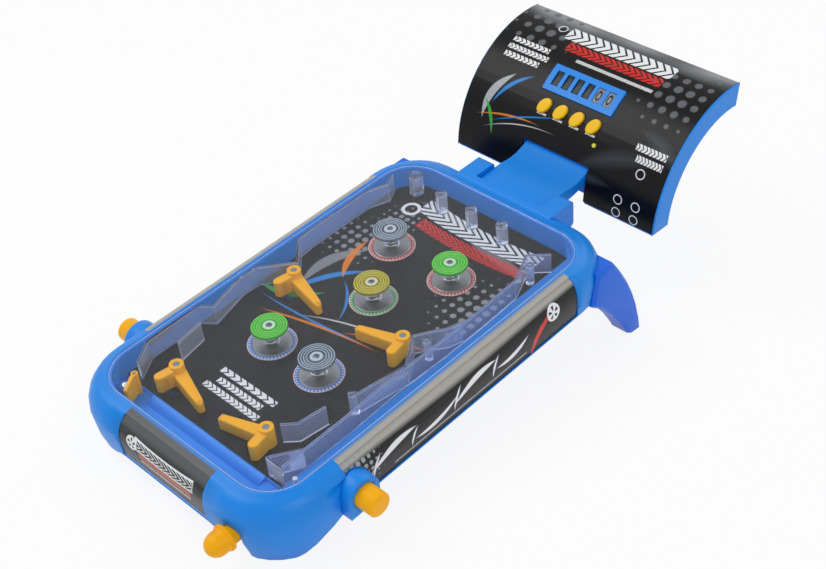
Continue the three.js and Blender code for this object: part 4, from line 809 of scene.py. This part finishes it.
def stepped(name, topRings, bottomRings):  # rings are a radius and a level, the first at the disc's edge
    (radius, top), low = topRings[0], bottomRings[0][1]
    bpy.ops.mesh.primitive_cylinder_add(vertices=discSides, radius=radius, depth=top - low,
                                        location=(0, 0, (top + low) / 2))
    bpy.ops.object.transform_apply(location=True)
    piece = newPiece(name)
    stepEnd(piece, 1, topRings)
    stepEnd(piece, -1, bottomRings)
    closeShape(piece)
    return piece


def wound(name, look, steps):  # a wire wound around Z from level 0 to its length
    wire = look["wire"]
    bpy.ops.mesh.primitive_circle_add(vertices=12, radius=wire, location=(look["radius"], 0, wire),
                                      rotation=(math.pi / 2, 0, 0))
    bpy.ops.object.transform_apply(location=True, rotation=True)
    piece = newPiece(name)
    screw = piece.modifiers.new("wind", "SCREW")
    screw.steps = screw.render_steps = steps
    screw.iterations = look["curls"]
    screw.screw_offset = (look["length"] - 2 * wire) / look["curls"]
    screw.use_normal_calculate = True
    applyAll(piece)
    closeShape(piece, 0.0005)
    return piece


def closeShape(piece, weld=0.002):
    only(piece)
    bpy.ops.object.mode_set(mode="EDIT")
    bpy.ops.mesh.select_all(action="SELECT")
    bpy.ops.mesh.remove_doubles(threshold=weld)
    bpy.ops.mesh.fill_holes(sides=0)
    bpy.ops.mesh.normals_make_consistent(inside=False)
    bpy.ops.object.mode_set(mode="OBJECT")
    bpy.ops.object.shade_smooth_by_angle(angle=math.radians(35))


bumper = {  # levels are in the table's frame, where the cover's upper plane is 0
    "places": [(-44.7, 262.395), (22.5, 261.366), (-10, 205.8), (-36, 120.736), (17.5, 120.05)],
    "caps": ["smokeCapPlastic", "greenCapPlastic", "limeCapPlastic", "greenCapPlastic", "smokeCapPlastic"],
    "radius": 14.6, "top": -2.2, "face": -3.0, "foot": -4.9, "ridges": (13.5, 11.5, 9.5, 7.5),
    "hub": 4.8, "well": 2.7, "stem": 3.4, "hubFoot": -8.5,
    "disc": 16, "discTop": -19.85, "discLow": -20.66, "post": 2.2, "postTop": -8.9,
}
bumperSpring = {"radius": 6, "wire": 0.62, "length": 14.4, "curls": 4, "low": -19.6}


def makeCapMaster():  # a disc with round ridges on it and a hub that has a well for the screw
    radius, face, top, foot = (bumper[key] for key in ("radius", "face", "top", "foot"))
    hub, well, stem = (bumper[key] for key in ("hub", "well", "stem"))
    rings = [(radius, face - 0.8), (radius - 0.1, face - 0.3), (radius - 0.3, face)]
    for ridge in bumper["ridges"]:
        rings += [(ridge + 0.7, face), (ridge + 0.2, top - 0.1), (ridge - 0.2, top - 0.1),
                  (ridge - 0.7, face)]
    rings += [(hub + 0.5, face), (hub, top), (well, top), (well - 0.2, face)]
    below = [(radius, foot), (radius - 0.2, foot - 0.05), (stem + 0.4, foot - 0.05), (stem, foot - 0.5),
             (stem - 0.2, bumper["hubFoot"])]
    return stepped("bumperCapMaster", rings, below)


def makeBaseMaster():  # a metal disc, dished around the post
    disc, high, low, post = (bumper[key] for key in ("disc", "discTop", "discLow", "post"))
    rings = [(disc, high - 0.3), (disc - 0.4, high), (11, high + 0.1), (10.4, high), (5.2, high + 0.1),
             (4.2, high + 0.5), (2.6, high + 1.8), (post, high + 3), (post, bumper["postTop"])]
    return stepped("bumperBaseMaster", rings, [(disc, low), (disc - 0.3, low)])


capMaster, baseMaster = makeCapMaster(), makeBaseMaster()
wireMaster = wound("bumperWireMaster", bumperSpring, 40)
for number, ((x, y), cap) in enumerate(zip(bumper["places"], bumper["caps"]), 1):
    for master, part, ending, level, look in (
            (capMaster, "cap", "turned", 0, cap), (baseMaster, "post", "turned", 0, "discSteel"),
            (wireMaster, "spring", "wound", bumperSpring["low"], "brightSteel")):
        piece = copyOf(master, f"bumper_{part}_{number}_{ending}")
        settle(piece, Matrix.Translation((x, y, level)))
        attach(piece, f"bumper_{part}_{number}", look)

capScrew = {
    "radius": 2.4, "height": 1.0, "slope": 0.3, "rise": 0.35, "rim": 0.32, "recess": 0.5, "level": -3.0,
}


def makeScrewHead():  # a small pan head with a round recess in it
    s = capScrew
    bpy.ops.mesh.primitive_cylinder_add(vertices=32, radius=s["radius"], depth=s["height"])
    piece = newPiece("screwHeadMaster")
    pickEnd(piece, 1)
    bpy.ops.mesh.inset(thickness=s["radius"] * s["slope"])
    bpy.ops.transform.translate(value=(0, 0, s["height"] * s["rise"]))
    bpy.ops.mesh.inset(thickness=s["radius"] * s["rim"])
    bpy.ops.mesh.extrude_region_move(TRANSFORM_OT_translate={"value": (0, 0, -s["recess"])})
    bpy.ops.object.mode_set(mode="OBJECT")
    bpy.ops.object.shade_smooth_by_angle(angle=math.radians(30))
    return piece


screwMaster = makeScrewHead()
for number, (x, y) in enumerate(bumper["places"], 1):
    piece = copyOf(screwMaster, f"bumper_screw_{number}")
    settle(piece, Matrix.Translation((x, y, capScrew["level"])))
    piece.data.materials.append(materials["screwSteel"])
    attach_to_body(piece, "table")


def springAlong(name, node, look, start, turn):  # lies along the table from its start
    piece = wound(name, look, 24)
    settle(piece, Matrix.Translation(start) @ turn.to_matrix().to_4x4())
    attach(piece, node, "brightSteel")
    return piece


returnSpring = {"radius": 3, "wire": 0.4, "length": 23.4, "curls": 7, "y": 100, "z": -29.75, "keep": 0.58}
for side, sign in (("left", -1), ("right", 1)):
    low, high = (toWorld.inverted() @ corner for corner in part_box(f"{side}_return_spring"))
    start = Vector((high.x if side == "left" else low.x, returnSpring["y"], returnSpring["z"]))
    spring = springAlong(f"{side}_return_coil", f"{side}_return_spring", returnSpring, start,
                         Euler((0, sign * math.pi / 2, 0)))
    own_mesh(spring)

plungerSpring = {
    "radius": 2.9, "wire": 0.4, "length": 23.4, "curls": 6, "start": (74.5, 6.3, -29.5), "keep": 0.32,
}
start = Vector(plungerSpring["start"])
spring = springAlong("plunger_coil", "plunger_spring", plungerSpring, start, Euler((-math.pi / 2, 0, 0)))
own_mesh(spring)

ballLook = {"radius": 5.5, "place": (-84.6, 15.4, -18.78), "cuts": 23}
bpy.ops.mesh.primitive_cube_add(size=ballLook["radius"], location=ballLook["place"])
ball = newPiece("steel_ball_round")
bpy.ops.object.mode_set(mode="EDIT")
bpy.ops.mesh.subdivide(number_cuts=ballLook["cuts"])
bpy.ops.transform.tosphere(value=1)
bpy.ops.object.mode_set(mode="OBJECT")
ball.scale = [ballLook["radius"] / ball.data.vertices[0].co.length] * 3
bpy.ops.object.shade_smooth()
bpy.context.view_layer.update()
settle(ball)
attach(ball, "steel_ball", "ballSteel")

modeKey = {  # on the head's face, levels from its axis
    "angle": 136.8, "slant": 59, "long": 7.6, "narrow": 5.2, "top": 102.6, "foot": 94,
    "flange": 8.8, "flangeTop": 97.7, "flangeLow": 96.3,
}


def onFace(x, angle):  # X across, Y up the head's face, Z out of it, from the axis of its curve
    turn = Matrix.Rotation(math.radians(angle - 90), 4, "X")
    return Matrix.Translation((x, headAxis["y"], headAxis["z"])) @ turn


def makeKeyMaster():  # drawn round, then narrowed to an oval and slanted
    flange, long, top = (modeKey[key] for key in ("flange", "long", "top"))
    rings = [(flange, modeKey["flangeTop"]), (long, modeKey["flangeTop"]), (long, top - 0.9),
             (long - 0.1, top - 0.5), (long - 0.4, top - 0.22), (long - 0.9, top - 0.08), (long - 2.4, top)]
    below = [(flange, modeKey["flangeLow"]), (long, modeKey["flangeLow"]), (long, modeKey["foot"])]
    piece = stepped("modeKeyMaster", rings, below)
    narrow = Matrix.Diagonal((1, modeKey["narrow"] / long, 1, 1))
    piece.data.transform(Matrix.Rotation(math.radians(modeKey["slant"]), 4, "Z") @ narrow)
    return piece


keyMaster = makeKeyMaster()
for number, x in enumerate(keyXs, 1):
    piece = copyOf(keyMaster, f"mode_key_{number}_oval")
    settle(piece, onFace(x, modeKey["angle"]))
    attach(piece, f"mode_key_{number}", "keyPlastic")

displayPane = {"count": 6, "size": (7.2, 13.4, 1.0), "middle": 100.2, "ease": 0.25}


def makePaneMaster():  # one window's pane, with eased edges
    bpy.ops.mesh.primitive_cube_add(size=1, location=(0, 0, displayPane["middle"]))
    piece = newPiece("displayPaneMaster")
    piece.scale = displayPane["size"]
    bpy.ops.object.transform_apply(location=True, scale=True)
    bpy.ops.object.mode_set(mode="EDIT")
    bpy.ops.mesh.select_all(action="SELECT")
    bpy.ops.mesh.bevel(offset=displayPane["ease"], segments=2)
    bpy.ops.object.mode_set(mode="OBJECT")
    bpy.ops.object.shade_smooth_by_angle(angle=math.radians(30))
    return piece


paneMaster = makePaneMaster()
for number in range(displayPane["count"]):
    piece = copyOf(paneMaster, f"display_pane_{number + 1}")
    x = (number - (displayPane["count"] - 1) / 2) * glassLook["pitch"]
    settle(piece, onFace(x, glassLook["level"]))
    piece.data.materials.append(materials["displayGlass"])
    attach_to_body(piece, "head")
for master in (capMaster, baseMaster, wireMaster, screwMaster, keyMaster, paneMaster):
    bpy.data.objects.remove(master, do_unlink=True)
print("bumpers, springs, ball, keys and panes made")


# ---- stage, lights and camera
def seenBy(tree):  # 1 where the view, a reflection or clear plastic looks at the room
    path = tree.nodes.new("ShaderNodeLightPath").outputs
    seen = calc(tree, "MAXIMUM", path["Is Camera Ray"], path["Is Transmission Ray"])
    return calc(tree, "MAXIMUM", seen, path["Is Glossy Ray"])


studio = {
    "size": 14, "floor": -0.0004, "grey": (0.93, 0.93, 0.93, 1), "rough": 0.9,
    "seenGlow": 0.88,  # how white the floor looks where it is seen, its soft shadows apart
    "skyLight": 0.45, "skySeen": 0.55,  # the sky's strength as a light, and what is added where it is seen
}
bpy.ops.mesh.primitive_plane_add(size=studio["size"], location=(0, 0, studio["floor"]))
floor = newPiece("studioFloor")
floorMaterial, tree, shader = startMaterial("studioFloor")
shader.inputs["Base Color"].default_value = studio["grey"]
shader.inputs["Roughness"].default_value = studio["rough"]
white = tree.nodes.new("ShaderNodeEmission")
glow = times(tree, seenBy(tree), studio["seenGlow"])
mix = mixShaders(tree, glow, shader.outputs[0], white.outputs[0])
tree.links.new(mix, tree.nodes["Material Output"].inputs["Surface"])
floor.data.materials.append(floorMaterial)

world = bpy.data.worlds.new("studioWorld")
bpy.context.scene.world = world
world.use_nodes = True
tree = world.node_tree
sky = tree.nodes["Background"]
sky.inputs["Color"].default_value = (1, 1, 1, 1)
strength = calc(tree, "MULTIPLY_ADD", seenBy(tree), studio["skySeen"], studio["skyLight"])
tree.links.new(strength, sky.inputs["Strength"])

lights = {  # place, what it looks at, size, power
    "keyBox": ((-0.9, -0.7, 1.5), (0, 0, 0.05), 1.1, 13),
    "sideBox": ((1.5, -0.5, 1.0), (0, -0.05, 0.05), 0.9, 6),
    "backBox": ((0.1, 1.5, 1.3), (0, 0.1, 0.08), 1.2, 7),
}
for name, (place, target, size, power) in lights.items():
    lamp = bpy.data.lights.new(name, "AREA")
    lamp.size = size
    lamp.energy = power
    holder = bpy.data.objects.new(name, lamp)
    bpy.context.scene.collection.objects.link(holder)
    holder.location = place
    holder.rotation_euler = (Vector(target) - Vector(place)).to_track_quat("-Z", "Y").to_euler()

cameraLook = {  # in the table's frame
    "place": (627.98, -336.76, 715.25), "aim": (-0.5567, 0.5116, -0.6545),
    "up": (-0.4105, 0.5156, 0.7521), "lens": 61.35, "sensor": 36, "near": 0.01,
}
camera = bpy.data.cameras.new("photoCamera")
camera.lens = cameraLook["lens"]
camera.sensor_width = cameraLook["sensor"]
camera.sensor_fit = "HORIZONTAL"
camera.clip_start = cameraLook["near"]
viewer = bpy.data.objects.new("photoCamera", camera)
bpy.context.scene.collection.objects.link(viewer)
aim, up = (toWorld.to_3x3() @ Vector(cameraLook[key]) for key in ("aim", "up"))
aim, up = aim.normalized(), up.normalized()
side = aim.cross(up).normalized()
turn = Matrix((side, side.cross(aim), -aim)).transposed()
viewer.matrix_world = Matrix.Translation(toWorld @ Vector(cameraLook["place"])) @ turn.to_4x4()
bpy.context.scene.camera = viewer
bpy.context.scene.view_settings.view_transform = "Standard"

print("scene ready")
